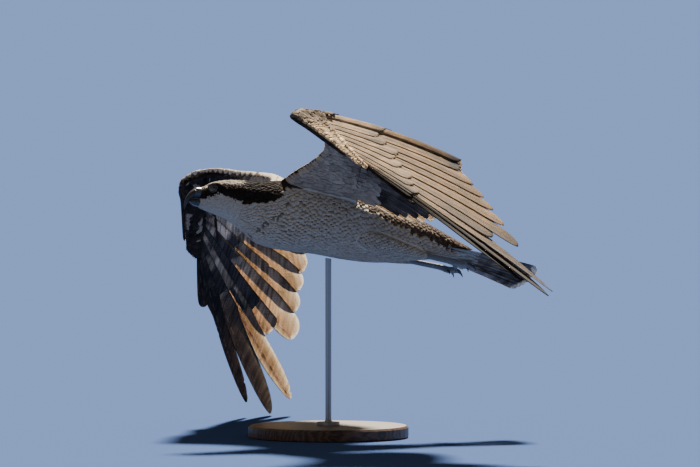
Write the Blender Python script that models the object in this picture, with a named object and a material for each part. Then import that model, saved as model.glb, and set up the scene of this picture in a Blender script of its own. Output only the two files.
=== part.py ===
"""An osprey in flight, life size, as a still museum model on a plain display stand.

Metres, +Z up. The bird is laid out in its own frame, +X to its left, +Y towards its tail and +Z
over its back, with its origin midway between the shoulders. One empty then pitches and banks the
whole bird above its stand, and the stand's foot rests on Z = 0.
"""

import math

import bmesh
import bpy
import numpy as np
from mathutils import Matrix

MM = 0.001
GAP = 0.32 * MM

# The pose on the stand
PITCH_DEG = 12.3
BANK_DEG = 12.4
SHOULDER_HEIGHT = 338 * MM
SHOULDER_AHEAD = 40 * MM

# The stand
BASE_RADIUS = 120 * MM
BASE_THICKNESS = 18 * MM
BASE_CHAMFER = 3 * MM
FLANGE_RADIUS = 17 * MM
FLANGE_THICKNESS = 5 * MM
ROD_RADIUS = 4.5 * MM

# Head, neck and trunk: distance towards the tail, height of the back, height of the belly and
# half the breadth, at each station from the face to the root of the tail
TRUNK = MM * np.array([
    [-170, 2, -25, 9],
    [-164, 7, -29, 14],
    [-155, 14, -31, 19],
    [-145, 20, -33, 23],
    [-131, 25, -35, 26],
    [-112, 29, -40, 28],
    [-90, 32, -50, 31],
    [-68, 36, -62, 39],
    [-40, 42, -65, 50],
    [-10, 46, -64, 58],
    [30, 48, -60, 61],
    [75, 45, -59, 58],
    [115, 38, -56, 51],
    [160, 30, -47, 42],
    [195, 24, -37, 33],
    [225, 15, -29, 26],
    [258, 5, -22, 19],
])
HEAD_START = -166 * MM
HEAD_END = -98 * MM
NECK_END = -52 * MM
TRUNK_END = 196 * MM
TRUNK_SIDES = 20

# Eyes, brows and mouth, on the bird's left
EYE_AT = np.array([14.0, -151, 3]) * MM
EYE_RADIUS = 8.8 * MM
BROW_LINE = [[14, -165, 4], [18.5, -157, 9.5], [21, -148, 12], [21, -138, 11]]
BROW_RADII = np.array([1.2, 2.4, 3.0, 3.2, 3.0, 2.2, 1.0])
MOUTH_LINE = [[12.5, -168, -14], [16, -163, -14.5], [20, -156, -16], [22.5, -150, -18.5]]
MOUTH_RADIUS = 0.9 * MM

# Bill, station by station: ridge y and z, lower edge y and z and half breadth, in millimetres
UPPER_BILL = np.array([
    [-166.4, 3.5, -166.4, -12.8, 9.0],
    [-174, 1.5, -172.5, -13.6, 7.4],
    [-181, -5, -178, -16, 5.8],
    [-186, -14, -182, -20.5, 4.0],
    [-188, -24, -185, -27, 2.2],
    [-187, -33, -186.2, -33.2, 0.4],
])
LOWER_BILL = np.array([
    [-166.4, -13.6, -166.4, -25.5, 8.2],
    [-171.5, -14.4, -171.5, -25, 6.6],
    [-176, -16.2, -176, -23.5, 4.6],
    [-179.5, -18.8, -179.5, -21.5, 2.2],
])
NOSTRIL_AT = np.array([6.6, -172.5, -2.5]) * MM
NOSTRIL_RADIUS = 1.9 * MM

# Flight feathers. Index 0 is the innermost tertial and 17 the outermost secondary of the arm;
# 18 is the innermost primary and 27 the outermost one of the hand
ARM_FEATHERS = 18
PRIMARIES = 10
VANE_THICKNESS = 0.62 * MM
LAYER_STEP = 1.15 * MM
PRIMARY_REACH = MM * np.array([264, 288, 310, 333, 362, 405, 465, 508, 514, 470])
GROWN_SHARE = {24: 0.76}
MANUS_LENGTH = 122 * MM
MANUS_EDGE = np.array([[18, 0.03], [20.5, 0.33], [24, 0.7], [28.5, 1.14]])
FEATHER_STATIONS = np.array([0.03, 0.22, 0.46, 0.72, 0.93, 1.0])
FEATHER_OUTLINE = np.array([0.1, 0.75, 1.0, 1.0, 0.7, 0.2])
COVERT_STATIONS = np.array([0.05, 0.6, 0.9, 1.0])
COVERT_OUTLINE = np.array([0.1, 0.95, 0.75, 0.2])
FEATHER_CAMBER = ([0, 10, 17, 19, 23, 27], [0.05, 0.07, 0.085, 0.085, 0.06, 0.035])
FEATHER_SWEEP = 0.02
SEAM_REACH = 0.42
OUTER_WIDTH = ([0, 17, 22, 25, 27], [14 * MM, 14 * MM, 12 * MM, 11 * MM, 9 * MM])
INNER_WIDTH = ([0, 1, 17, 22, 25, 27], [12 * MM, 24 * MM, 26 * MM, 26 * MM, 25 * MM, 22 * MM])
FINGERS = (25, 26, 27)
FINGER_SHARE = 0.95
FINGER_TWIST_DEG = 13
REMICLE = ARM_FEATHERS + PRIMARIES
REMICLE_SHARE = 0.42
COVERT_SHARE = ([0, 17, 18, 22, 27], [0.5, 0.48, 0.5, 0.42, 0.34])
COVERT_LIFT = 2.8 * MM

# Flesh of the wing: where it starts, its half heights by feather index and its section, as
# pairs of the share of the chord and the share of the half height
ARM_START = -2.4
CORE_INDEX = [-2.4, 2, 8, 14, 18, 22, 28.5]
CORE_UPPER = [14 * MM, 13 * MM, 12 * MM, 12 * MM, 11 * MM, 8 * MM, 3 * MM]
CORE_LOWER = [12 * MM, 10 * MM, 8 * MM, 7 * MM, 7 * MM, 5 * MM, 2.5 * MM]
CORE_REAR_HALF = 4.6 * MM
CORE_OVER_QUILLS = 16 * MM
CORE_PROFILE = [
    (0, 0), (0.05, 0.5), (0.22, 1), (0.5, 0.9), (0.8, 0.35), (1, 0.001),
    (1, -0.001), (0.8, -0.35), (0.5, -0.8), (0.22, -0.9), (0.05, -0.5),
]
ALULA_WIDTH = 7 * MM
ALULA_DEPTH = 5 * MM
ALULA_INDEX = [18.6, 20.0, 22.0, 24.5, 27.0]

# Arm of the wing, from the body to the wrist: leading edge, quill line and feather tips
LEADING_EDGE = MM * np.array([
    [22, -50, 34], [50, -43, 43], [90, -28, 57], [130, -27, 69], [180, -55, 80], [222, -100, 90],
])
QUILL_LINE = MM * np.array([
    [28, 46, 26], [76, 46, 30], [112, 38, 38], [160, 20, 55], [195, -32, 77], [219, -84, 93],
])
TRAILING_EDGE = MM * np.array([
    [40, 120, 26], [74, 124, 8], [112, 170, 6], [160, 179, 25], [215, 163, 47], [250, 146, 60],
])
EDGE_INDEX = np.array([-2.5, 0, 4, 8, 12, 16])

# Each wing's hand: the wrist, the line of the longest primary and the chord of the fan. The bones
# turn from that line by manus_deg; the quills stand back from them, and the edge lies ahead
HANDS = {
    "left": {
        "wrist": np.array([232.5, -120, 88]) * MM,
        "axis": np.array([0.572, 0.647, -0.505]),
        "chord": np.array([-0.483, 0.763, 0.430]),
        "manus_deg": -5.0,
        "knuckles_back": np.array([14, 6]) * MM,
        "edge_ahead": np.array([10, 6, 3, 3]) * MM,
        "fan_deg": np.array([35.5, 28.8, 23.8, 19.3, 14.4, 8.8, 4.6, 1.2, -0.8, -2.1]),
        "arm_rise": 3 * MM,
        "tips_outward": 8 * MM,
    },
    "right": {
        "wrist": np.array([234, -107, 71]) * MM,
        "axis": np.array([0.646, 0.578, -0.496]),
        "chord": np.array([-0.238, 0.755, 0.611]),
        "manus_deg": -15.0,
        "knuckles_back": np.array([14, 14]) * MM,
        "edge_ahead": np.array([10, 7, 5, 3]) * MM,
        "fan_deg": np.array([34.6, 28.6, 23.2, 18.6, 14.4, 10.2, 7.3, 4.3, 0.1, -3.5]),
        "arm_rise": 8 * MM,
        "tips_outward": 52 * MM,
    },
}

# Tail and legs
TAIL_FEATHERS = 12
TAIL_ROOT = np.array([0, 200, -12]) * MM
TAIL_LENGTH = 176 * MM
TAIL_DROP = 12 * MM
TAIL_SPREAD_DEG = 6.0
TAIL_ROLL_DEG = 14.0
TAIL_STEP = 1.05 * MM
TAIL_HALF_TIP = 8 * MM
TAIL_COVER_ABOVE = 0.44
TAIL_COVER_BELOW = 0.48
TAIL_BASE_END = 256 * MM
THIGH = MM * np.array([
    [58, 40, -24, 6, 10], [85, 42, -28, 15, 18], [115, 40, -31, 17, 18], [145, 35, -31, 14, 14],
    [175, 30, -32, 10, 10], [194, 27, -33, 6.5, 6.5],
])
ANKLE = [25, 236, -33]
SHANK_RADIUS = 4.6 * MM
TOES = [
    ([[21, 242, -36], [17, 246, -38]], [12, 248, -44]),
    ([[21, 250, -34], [17, 260, -34]], [14, 268, -41]),
    ([[26, 253, -34], [27, 266, -34]], [27, 275, -41]),
    ([[31, 249, -34], [36, 258, -34]], [40, 266, -41]),
]
TOE_RADII = np.array([4.0, 4.0, 3.8, 3.5, 2.5])
CLAW_RADII = np.array([2.2, 2.0, 1.6, 1.0, 0.3])
MIRROR = np.diag([-1.0, 1.0, 1.0, 1.0])


def unit(vector):
    """The vectors at length 1."""
    return vector / np.linalg.norm(vector, axis=-1, keepdims=True)


def spline(at, knots, where):
    """Cubic Hermite curve through the knots, with slopes from their neighbours (non-uniform)."""
    at = np.asarray(at, float)
    knots = np.asarray(knots, float)
    where = np.asarray(where, float)
    span = np.diff(at)
    chord = np.diff(knots, axis=0) / span[:, None]
    slope = np.empty_like(knots)
    slope[0] = chord[0]
    slope[-1] = chord[-1]
    weight = (span[1:] / (span[1:] + span[:-1]))[:, None]
    slope[1:-1] = weight * chord[:-1] + (1 - weight) * chord[1:]
    cell = np.clip(np.searchsorted(at, where, side="right") - 1, 0, len(at) - 2)
    width = span[cell]
    u = (where - at[cell]) / width
    inside = np.clip(u, 0, 1)
    beyond = (u - inside) * width
    u, width, beyond = inside[..., None], width[..., None], beyond[..., None]
    value = (
        (2 * u**3 - 3 * u**2 + 1) * knots[cell]
        + (u**3 - 2 * u**2 + u) * width * slope[cell]
        + (3 * u**2 - 2 * u**3) * knots[cell + 1]
        + (u**3 - u**2) * width * slope[cell + 1]
    )
    end_slope = np.where(beyond < 0, slope[cell], slope[cell + 1])
    return value + beyond * end_slope


def clear_scene():
    """Removes every object."""
    for old in list(bpy.data.objects):
        bpy.data.objects.remove(old, do_unlink=True)


def material(name, colour, roughness, metallic=0.0):
    """A plain finish of one colour."""
    made = bpy.data.materials.new(name)
    made.use_nodes = True
    shader = made.node_tree.nodes["Principled BSDF"]
    shader.inputs["Base Color"].default_value = (*colour, 1.0)
    shader.inputs["Roughness"].default_value = roughness
    shader.inputs["Metallic"].default_value = metallic
    return made


def mesh_object(name, points, faces, finish=None):
    """A mesh object in the scene from points and faces."""
    mesh = bpy.data.meshes.new(name)
    mesh.from_pydata([tuple(p) for p in points], [], [tuple(f) for f in faces])
    mesh.validate()
    if finish is not None:
        mesh.materials.append(finish)
    made = bpy.data.objects.new(name, mesh)
    bpy.context.scene.collection.objects.link(made)
    return made


def ring_faces(rows, sides):
    """Triangles between closed rings, each quad cut along the same diagonal."""
    faces = []
    for i in range(rows - 1):
        for j in range(sides):
            a = i * sides + j
            b = i * sides + (j + 1) % sides
            faces.append((a, b, b + sides))
            faces.append((a, b + sides, a + sides))
    return faces


def lofted(rings, flip=False):
    """(points, faces) of a closed solid through the rings, its ends filled to their middles."""
    rings = np.asarray(rings, float)
    rows, sides = rings.shape[:2]
    points = np.concatenate([
        rings.reshape(-1, 3), rings[0].mean(0)[None], rings[-1].mean(0)[None]])
    faces = ring_faces(rows, sides)
    first, last = rows * sides, rows * sides + 1
    for j in range(sides):
        k = (j + 1) % sides
        faces.append((first, k, j))
        faces.append((last, (rows - 1) * sides + j, (rows - 1) * sides + k))
    if flip:
        faces = [face[::-1] for face in faces]
    return points, faces


def outward(points, faces):
    """The faces turned so that they enclose a positive volume."""
    corners = points[np.array(faces)]
    if np.linalg.det(corners - points.mean(0)).sum() < 0:
        return [face[::-1] for face in faces]
    return faces


def solid(name, rings, finish=None):
    """A closed solid through the rings, as an object."""
    points, faces = lofted(rings)
    return mesh_object(name, points, outward(points, faces), finish)


def apply_modifiers(obj):
    """Makes the object's mesh what its modifiers give."""
    graph = bpy.context.evaluated_depsgraph_get()
    mesh = bpy.data.meshes.new_from_object(obj.evaluated_get(graph))
    obj.modifiers.clear()
    obj.data = mesh


def largest_surface(obj):
    """Keeps only the closed surface with the most faces."""
    form = bmesh.new()
    form.from_mesh(obj.data)
    left = set(form.faces)
    groups = []
    while left:
        found = [left.pop()]
        for face in found:
            for edge in face.edges:
                others = edge.link_faces if len(edge.link_faces) == 2 else []
                for other in others:
                    if other in left:
                        left.discard(other)
                        found.append(other)
        groups.append(found)
    groups.sort(key=lambda group: -sum(face.calc_area() for face in group))
    scraps = [face for group in groups[1:] for face in group]
    bmesh.ops.delete(form, geom=scraps, context="FACES")
    form.to_mesh(obj.data)
    form.free()


def union(obj, pieces, solver="EXACT"):
    """Fuses the closed pieces into obj with one Boolean on their collection."""
    group = bpy.data.collections.new(obj.name + "_pieces")
    bpy.context.scene.collection.children.link(group)
    for piece in pieces:
        bpy.context.scene.collection.objects.unlink(piece)
        group.objects.link(piece)
    join = obj.modifiers.new("join", "BOOLEAN")
    join.operation = "UNION"
    join.operand_type = "COLLECTION"
    join.collection = group
    join.solver = solver
    apply_modifiers(obj)
    for piece in pieces:
        bpy.data.objects.remove(piece, do_unlink=True)
    bpy.data.collections.remove(group)


def cut(obj, cutters, solver="EXACT"):
    """Takes each closed cutter away from obj."""
    for cutter in cutters:
        less = obj.modifiers.new("cut", "BOOLEAN")
        less.operation = "DIFFERENCE"
        less.object = cutter
        less.solver = solver
    apply_modifiers(obj)
    largest_surface(obj)


def drop(objects):
    """Removes these objects."""
    for obj in objects:
        bpy.data.objects.remove(obj, do_unlink=True)


# Trunk

def trunk_ring(y, grow=0.0, sides=TRUNK_SIDES):
    """One closed outline of the bird's trunk at y: a superellipse, fuller below than above."""
    top, bottom, half = spline(TRUNK[:, 0], TRUNK[:, 1:], y)
    middle = 0.5 * (top + bottom)
    angle = np.linspace(0, 2 * math.pi, sides, endpoint=False) + math.pi / sides
    power = 0.92
    across = np.sign(np.cos(angle)) * np.abs(np.cos(angle)) ** power
    upward = np.sign(np.sin(angle)) * np.abs(np.sin(angle)) ** power
    x = (half + grow) * across
    z = middle + (0.5 * (top - bottom) + grow) * upward
    return np.stack([x, np.full(sides, y), z], axis=1)


def trunk_solid(name, start, end, rows, finish=None, grow=0.0, sides=TRUNK_SIDES):
    """A length of the trunk as a closed solid."""
    rings = [trunk_ring(y, grow, sides) for y in np.linspace(start, end, rows)]
    return solid(name, rings, finish)


# Feather sheets

class Sheet:
    """A smooth surface that feathers lie in: quill roots, middles and tips for each index."""

    def __init__(self, index, roots, tips, camber, sweep=0.0):
        self.index = np.asarray(index, float)
        self.roots = np.asarray(roots, float)
        self.tips = np.asarray(tips, float)
        out = np.gradient(self.roots + 0.4 * (self.tips - self.roots), self.index, axis=0)
        along = unit(self.tips - self.roots)
        out = unit(out - along * (out * along).sum(1, keepdims=True))
        up = unit(np.cross(out, along))
        length = np.linalg.norm(self.tips - self.roots, axis=1)[:, None]
        rise = np.broadcast_to(np.asarray(camber, float), (len(self.index),))[:, None]
        self.middles = 0.5 * (self.roots + self.tips) + length * (rise * up + sweep * out)

    def at(self, q, t):
        root = spline(self.index, self.roots, q)
        middle = spline(self.index, self.middles, q)
        tip = spline(self.index, self.tips, q)
        t = np.asarray(t, float)[..., None]
        return (1 - t) ** 2 * root + 2 * t * (1 - t) * middle + t**2 * tip

    def frame(self, q, t):
        """Point, direction along the feather, dorsal normal and distance to the next feather."""
        e = 0.02
        here = self.at(q, t)
        along = (self.at(q, t + e) - self.at(q, t - e)) / (2 * e)
        out = (self.at(q + e, t) - self.at(q - e, t)) / (2 * e)
        tangent = unit(along)
        normal = unit(np.cross(out, along))
        across = out - tangent * (out * tangent).sum(-1, keepdims=True)
        return here, along, normal, np.linalg.norm(across, axis=-1)

    def beside(self, q, v, t):
        """The point v feathers beside (q, t), squarely across the shaft, and its normal."""
        here, along, _, _ = self.frame(q, t)
        tangent = unit(along)
        speed = np.linalg.norm(along, axis=-1)
        slid = np.array(t, float)
        for _ in range(4):
            there = self.at(q + v, slid)
            slid = slid - ((there - here) * tangent).sum(-1) / speed
        point, _, normal, _ = self.frame(q + v, slid)
        return point, normal


def moved(rings, place):
    """The points carried by a 4 x 4 matrix."""
    return np.asarray(rings, float) @ place[:3, :3].T + place[:3, 3]


def vane(name, sheet, q, stations, leading, trailing, lift=0.0, most=(0.6, 1.0),
         step=LAYER_STEP, twist_deg=0.0, place=np.eye(4)):
    """One flight feather as a thin closed strip on its sheet.

    leading and trailing are its two half widths at each station. Each point stands over the sheet
    by lift plus one step for each feather's breadth, so that neighbours lie like shingles. A
    twist raises its leading web towards the tip.
    """
    stations = np.asarray(stations, float)
    index = np.full(len(stations), float(q))
    spacing = sheet.frame(index, stations)[3]
    corners = []
    for width, sign, limit in ((leading, 1, most[0]), (trailing, -1, most[1])):
        v = sign * np.minimum(np.asarray(width) / spacing, limit)
        point, normal = sheet.beside(index, v, stations)
        turned = np.radians(twist_deg) * np.clip((stations - 0.45) / 0.4, 0, 1)
        height = (lift + step * v + np.tan(turned) * v * spacing)[:, None]
        for side in (0.5, -0.5):
            corners.append(point + normal * (height + side * VANE_THICKNESS))
    lead_top, lead_low, trail_top, trail_low = corners
    rings = np.stack([lead_top, trail_top, trail_low, lead_low], axis=1)
    points = moved(rings.reshape(-1, 3), place)
    faces = []
    for i in range(len(stations) - 1):
        a = 4 * i
        b = a + 4
        faces += [(a, a + 1, b + 1), (a, b + 1, b)]
        faces += [(a + 1, a + 2, b + 2), (a + 1, b + 2, b + 1)]
        faces += [(a + 2, a + 3, b + 2), (a + 3, b + 3, b + 2)]
        faces += [(a + 3, a, b), (a + 3, b, b + 3)]
    last = len(points) - 4
    faces += [(0, 3, 2), (0, 2, 1), (last, last + 1, last + 2), (last, last + 2, last + 3)]
    return mesh_object(name, points, outward(points, faces))


def wing_sheet(hand):
    """(sheet, leading edge by index) of one wing, drawn as the left one."""
    axis = unit(hand["axis"])
    chord = unit(hand["chord"] - axis * (hand["chord"] @ axis))

    def fan(degrees):
        angle = np.radians(np.asarray(degrees, float))[..., None]
        return np.cos(angle) * axis + np.sin(angle) * chord

    wrist = hand["wrist"]
    manus = fan(hand["manus_deg"])
    back = fan(hand["manus_deg"] + 90.0)
    share = np.linspace(0.1, 1.0, PRIMARIES)[:, None]
    knuckles = np.interp(share, [0, 1], hand["knuckles_back"])
    hand_roots = wrist + manus * MANUS_LENGTH * share + back * knuckles
    hand_tips = wrist + fan(hand["fan_deg"]) * PRIMARY_REACH[:, None]
    shift = wrist - HANDS["left"]["wrist"]
    rise = np.array([0, 0, hand["arm_rise"]])

    def carried(index):
        """How far the arm stands from the left wing's, for the wrist and for its own arch."""
        share = np.clip(index / ARM_FEATHERS, 0, 1)[:, None]
        return share**1.5 * shift + 4 * share * (1 - share) * rise

    arm = np.arange(ARM_FEATHERS, dtype=float)
    arm_roots = spline(EDGE_INDEX, QUILL_LINE, arm) + carried(arm)
    arm_tips = spline(EDGE_INDEX, TRAILING_EDGE, arm) + carried(arm)
    arm_tips[:, 0] += hand["tips_outward"] * (arm / ARM_FEATHERS) ** 2
    sheet = Sheet(
        np.arange(ARM_FEATHERS + PRIMARIES),
        np.concatenate([arm_roots, hand_roots]),
        np.concatenate([arm_tips, hand_tips]),
        np.interp(np.arange(ARM_FEATHERS + PRIMARIES), *FEATHER_CAMBER), FEATHER_SWEEP)
    edge = np.concatenate([
        LEADING_EDGE + carried(EDGE_INDEX),
        wrist + MANUS_LENGTH * MANUS_EDGE[:, 1:] * manus - hand["edge_ahead"][:, None] * back,
    ])
    edge_index = np.concatenate([EDGE_INDEX, MANUS_EDGE[:, 0]])
    return sheet, lambda s: spline(edge_index, edge, s)


def wing_ring(sheet, edge, s, shift=0.0):
    """One section of the wing's flesh at feather index s, from its nose to its blunt rear."""
    nose = edge(s)
    here = np.array(float(s))
    root, along, up, _ = sheet.frame(here, np.array(0.0))
    rear = root + unit(along) * CORE_OVER_QUILLS
    upper, lower = np.array([
        np.interp(s, CORE_INDEX, CORE_UPPER), np.interp(s, CORE_INDEX, CORE_LOWER)])
    outward_line = unit(edge(s + 0.1) - edge(s - 0.1))
    chord = rear - nose
    up = unit(up - chord * (up @ chord) / (chord @ chord))
    points = []
    for f, h in CORE_PROFILE:
        blunt = f**3 * CORE_REAR_HALF
        rise = upper * h + blunt if h >= 0 else lower * h - blunt
        points.append(nose + f * chord + up * rise + outward_line * shift)
    return np.array(points)


def wing_feathers(prefix, sheet, first, last, place):
    """The flight feathers and the two tiers of greater coverts from index first up to last."""
    pieces = []
    for q in range(first, last):
        limits = [0.6, 1.0]
        if q == ARM_FEATHERS - 1:
            limits[0] = SEAM_REACH
        if q == ARM_FEATHERS:
            limits[1] = SEAM_REACH
        outer = float(np.interp(q, *OUTER_WIDTH))
        inner = float(np.interp(q, *INNER_WIDTH))
        leading = outer * FEATHER_OUTLINE
        trailing = inner * FEATHER_OUTLINE
        if q in FINGERS:
            leading = leading * np.where(FEATHER_STATIONS > 0.6, FINGER_SHARE, 1.0)
            trailing = trailing * np.where(FEATHER_STATIONS > 0.6, FINGER_SHARE, 1.0)
        end = GROWN_SHARE.get(q, 1.0)
        pieces.append(vane(
            f"{prefix}_feather_{q}", sheet, q, FEATHER_STATIONS * end, leading, trailing,
            most=limits, twist_deg=FINGER_TWIST_DEG if q in FINGERS else 0.0, place=place))
        reach = float(np.interp(q, *COVERT_SHARE))
        for tier, lift in (("upper", COVERT_LIFT), ("under", -COVERT_LIFT)):
            if tier == "under" and q % 3:
                continue
            pieces.append(vane(
                f"{prefix}_{tier}_{q}", sheet, q, COVERT_STATIONS * reach,
                outer * COVERT_OUTLINE, inner * COVERT_OUTLINE, lift=lift, most=limits,
                place=place))
    if last == REMICLE:
        pieces.append(vane(
            f"{prefix}_remicle", sheet, REMICLE, COVERT_STATIONS * REMICLE_SHARE,
            8 * MM * COVERT_OUTLINE, 12 * MM * COVERT_OUTLINE, place=place))
    return pieces


def build_wing(side, finish, torso_cutter):
    """One wing's arm, hand and alula, with all their feathers, clear of the trunk."""
    hand = HANDS[side]
    sheet, edge = wing_sheet(hand)
    place = np.eye(4) if side == "left" else MIRROR
    seam = ARM_FEATHERS - 0.5
    arm_rings = [wing_ring(sheet, edge, s) for s in np.linspace(ARM_START, seam, 12)]
    hand_rings = [
        wing_ring(sheet, edge, s, GAP if s == seam else 0.0)
        for s in np.linspace(seam, REMICLE + 0.5, 9)]
    arm = solid(f"wing_{side}_arm", moved(arm_rings, place), finish)
    union(arm, wing_feathers(arm.name, sheet, 0, ARM_FEATHERS, place))
    cut(arm, [torso_cutter])
    palm = solid(f"wing_{side}_hand", moved(hand_rings, place), finish)
    last = ARM_FEATHERS + PRIMARIES
    union(palm, wing_feathers(palm.name, sheet, ARM_FEATHERS, last, place))
    largest_surface(palm)
    return build_alula(side, sheet, edge, place, finish)


def build_alula(side, sheet, edge, place, finish):
    """The thumb's three short stiff feathers, ahead of the hand's leading edge."""
    sections = []
    for s in ALULA_INDEX:
        nose = edge(s)
        root, along, up, _ = sheet.frame(np.array(float(s)), np.array(0.0))
        out = unit(edge(s + 0.1) - edge(s - 0.1))
        ahead = unit(np.cross(out, up))
        if ahead @ (root - nose) > 0:
            ahead = -ahead
        sections.append((nose, ahead, up))
    widths = ALULA_WIDTH * np.array([0.55, 1.0, 1.0, 0.8, 0.25])
    depths = ALULA_DEPTH * np.array([0.9, 1.0, 0.8, 0.5, 0.25])
    rings = []
    for (nose, ahead, up), width, depth in zip(sections, widths, depths):
        middle = nose + ahead * (0.5 * width + GAP) + up * 0.4 * depth
        angle = np.linspace(0, 2 * math.pi, 8, endpoint=False) + math.pi / 8
        rings.append(
            middle + 0.5 * width * np.cos(angle)[:, None] * ahead
            + 0.5 * depth * np.sin(angle)[:, None] * up)
    return solid(f"alula_{side}", moved(rings, place), finish)


# Tail

def build_tail(finish):
    """The tail's feathers and coverts, fused to the root that closes the trunk behind."""
    rings = [trunk_ring(y) for y in np.linspace(TRUNK_END + GAP, TAIL_BASE_END, 6)]
    tail = solid("tail", rings, finish)
    roll = np.array(
        Matrix.Translation(TAIL_ROOT)
        @ Matrix.Rotation(math.radians(-TAIL_ROLL_DEG), 4, "Y")
        @ Matrix.Translation(-TAIL_ROOT))
    half = TAIL_FEATHERS // 2
    index = np.arange(half, dtype=float)
    share = index / (half - 1)
    angle = np.radians(TAIL_SPREAD_DEG) * (share + 0.06)
    side_root = 1.0 * MM + 12 * MM * share
    roots = TAIL_ROOT + np.stack([side_root, 0 * index, -2 * MM * share], axis=1)
    length = TAIL_LENGTH * (1 - 0.06 * share**2)
    tips = roots + np.stack([
        length * np.sin(angle) + TAIL_HALF_TIP * share, length * np.cos(angle),
        -TAIL_DROP - 3 * MM * share], axis=1)
    sheet = Sheet(index, roots, tips, 0.03, 0.01)
    pieces = []
    for mirror in (np.eye(4), MIRROR):
        place = roll @ mirror
        for q in range(half):
            limits = [0.8, 1.2 if q else 0.0]
            inner = 15 * MM * FEATHER_OUTLINE
            if q == 0:
                limits[1] = 1.0
                inner = np.full(len(FEATHER_STATIONS), 0.9 * MM)
            pieces.append(vane(
                f"tail_feather_{q}", sheet, q, FEATHER_STATIONS, 9 * MM * FEATHER_OUTLINE,
                inner, most=limits, step=TAIL_STEP, place=place))
            for lift, reach in ((COVERT_LIFT, TAIL_COVER_ABOVE), (-COVERT_LIFT, TAIL_COVER_BELOW)):
                if q % 2:
                    continue
                narrow = 0.9 * MM * np.ones(4) if q == 0 else 11 * MM * COVERT_OUTLINE
                pieces.append(vane(
                    f"tail_covert_{q}_{lift > 0}", sheet, q, COVERT_STATIONS * reach,
                    10 * MM * COVERT_OUTLINE, narrow,
                    lift=lift, most=[1.6, 1.6 if q else 1.0], step=TAIL_STEP * 0.5,
                    place=place))
    union(tail, pieces)
    largest_surface(tail)


# Head

def tube(name, path, radii, sides=8, finish=None, flatten=1.0):
    """A round, tapering solid along the path."""
    path = np.asarray(path, float)
    radii = np.broadcast_to(np.asarray(radii, float), (len(path),))
    tangent = unit(np.gradient(path, axis=0))
    side = unit(np.cross(tangent, np.array([0.03, 0.02, 1.0])))
    other = np.cross(side, tangent)
    angle = np.linspace(0, 2 * math.pi, sides, endpoint=False)
    rings = (
        path[:, None] + radii[:, None, None] * (
            np.cos(angle)[None, :, None] * side[:, None]
            + flatten * np.sin(angle)[None, :, None] * other[:, None]))
    return solid(name, rings, finish)


def curve(points, count):
    """The smooth line through a few points given in millimetres."""
    points = MM * np.asarray(points, float)
    return spline(np.linspace(0, 1, len(points)), points, np.linspace(0, 1, count))


def ball(name, centre, radius, finish=None, rows=8, sides=12):
    """A sphere with its poles on the bird's left and right."""
    angle = np.linspace(0, math.pi, rows + 1)[1:-1]
    around = np.linspace(0, 2 * math.pi, sides, endpoint=False)
    rings = [
        centre + radius * np.stack([
            np.full(sides, math.cos(a)), math.sin(a) * np.cos(around),
            math.sin(a) * np.sin(around)], axis=1)
        for a in angle]
    points, faces = lofted(rings)
    points[-2] = centre + np.array([radius, 0, 0])
    points[-1] = centre - np.array([radius, 0, 0])
    return mesh_object(name, points, outward(points, faces), finish)


def build_head(plumage, horn, iris):
    """The head with its brows, eye sockets and gape, the eyes, and the two halves of the bill."""
    head = trunk_solid("head", HEAD_START, HEAD_END, 11, plumage)
    brows = []
    sockets = []
    for sign in (1, -1):
        flip = np.array([sign, 1, 1])
        brows.append(tube("brow", curve(BROW_LINE, 7) * flip, BROW_RADII * MM, 8))
        sockets.append(ball("socket", EYE_AT * flip, EYE_RADIUS + GAP, None, 9, 14))
        sockets.append(tube("mouth", curve(MOUTH_LINE, 6) * flip, MOUTH_RADIUS, 6))
    union(head, brows)
    cut(head, sockets)
    drop(sockets)
    for side, sign in (("left", 1), ("right", -1)):
        ball(f"eye_{side}", EYE_AT * np.array([sign, 1, 1]), EYE_RADIUS, iris, 9, 14)
    upper = bill_half("bill_upper", UPPER_BILL, horn)
    nostrils = [
        ball("nostril", NOSTRIL_AT * np.array([sign, 1, 1]), NOSTRIL_RADIUS, None, 6, 8)
        for sign in (1, -1)]
    cut(upper, nostrils)
    drop(nostrils)
    bill_half("bill_lower", LOWER_BILL, horn)


def bill_half(name, profile, finish):
    """One half of the bill: ridge y and z, cutting edge y and z and half breadth per station."""
    rows = spline(np.arange(len(profile)), MM * profile, np.linspace(0, len(profile) - 1, 11))
    angle = np.linspace(0, 2 * math.pi, 10, endpoint=False) + math.pi / 10
    rings = []
    for ridge_y, ridge_z, edge_y, edge_z, half in rows:
        high = np.array([0, ridge_y, ridge_z])
        low = np.array([0, edge_y, edge_z])
        middle = 0.5 * (high + low)
        rings.append(
            middle + 0.5 * (high - low) * np.sin(angle)[:, None]
            + np.array([1, 0, 0]) * max(half, 0.25 * MM) * np.cos(angle)[:, None])
    return solid(name, rings, finish)


# Legs

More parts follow.
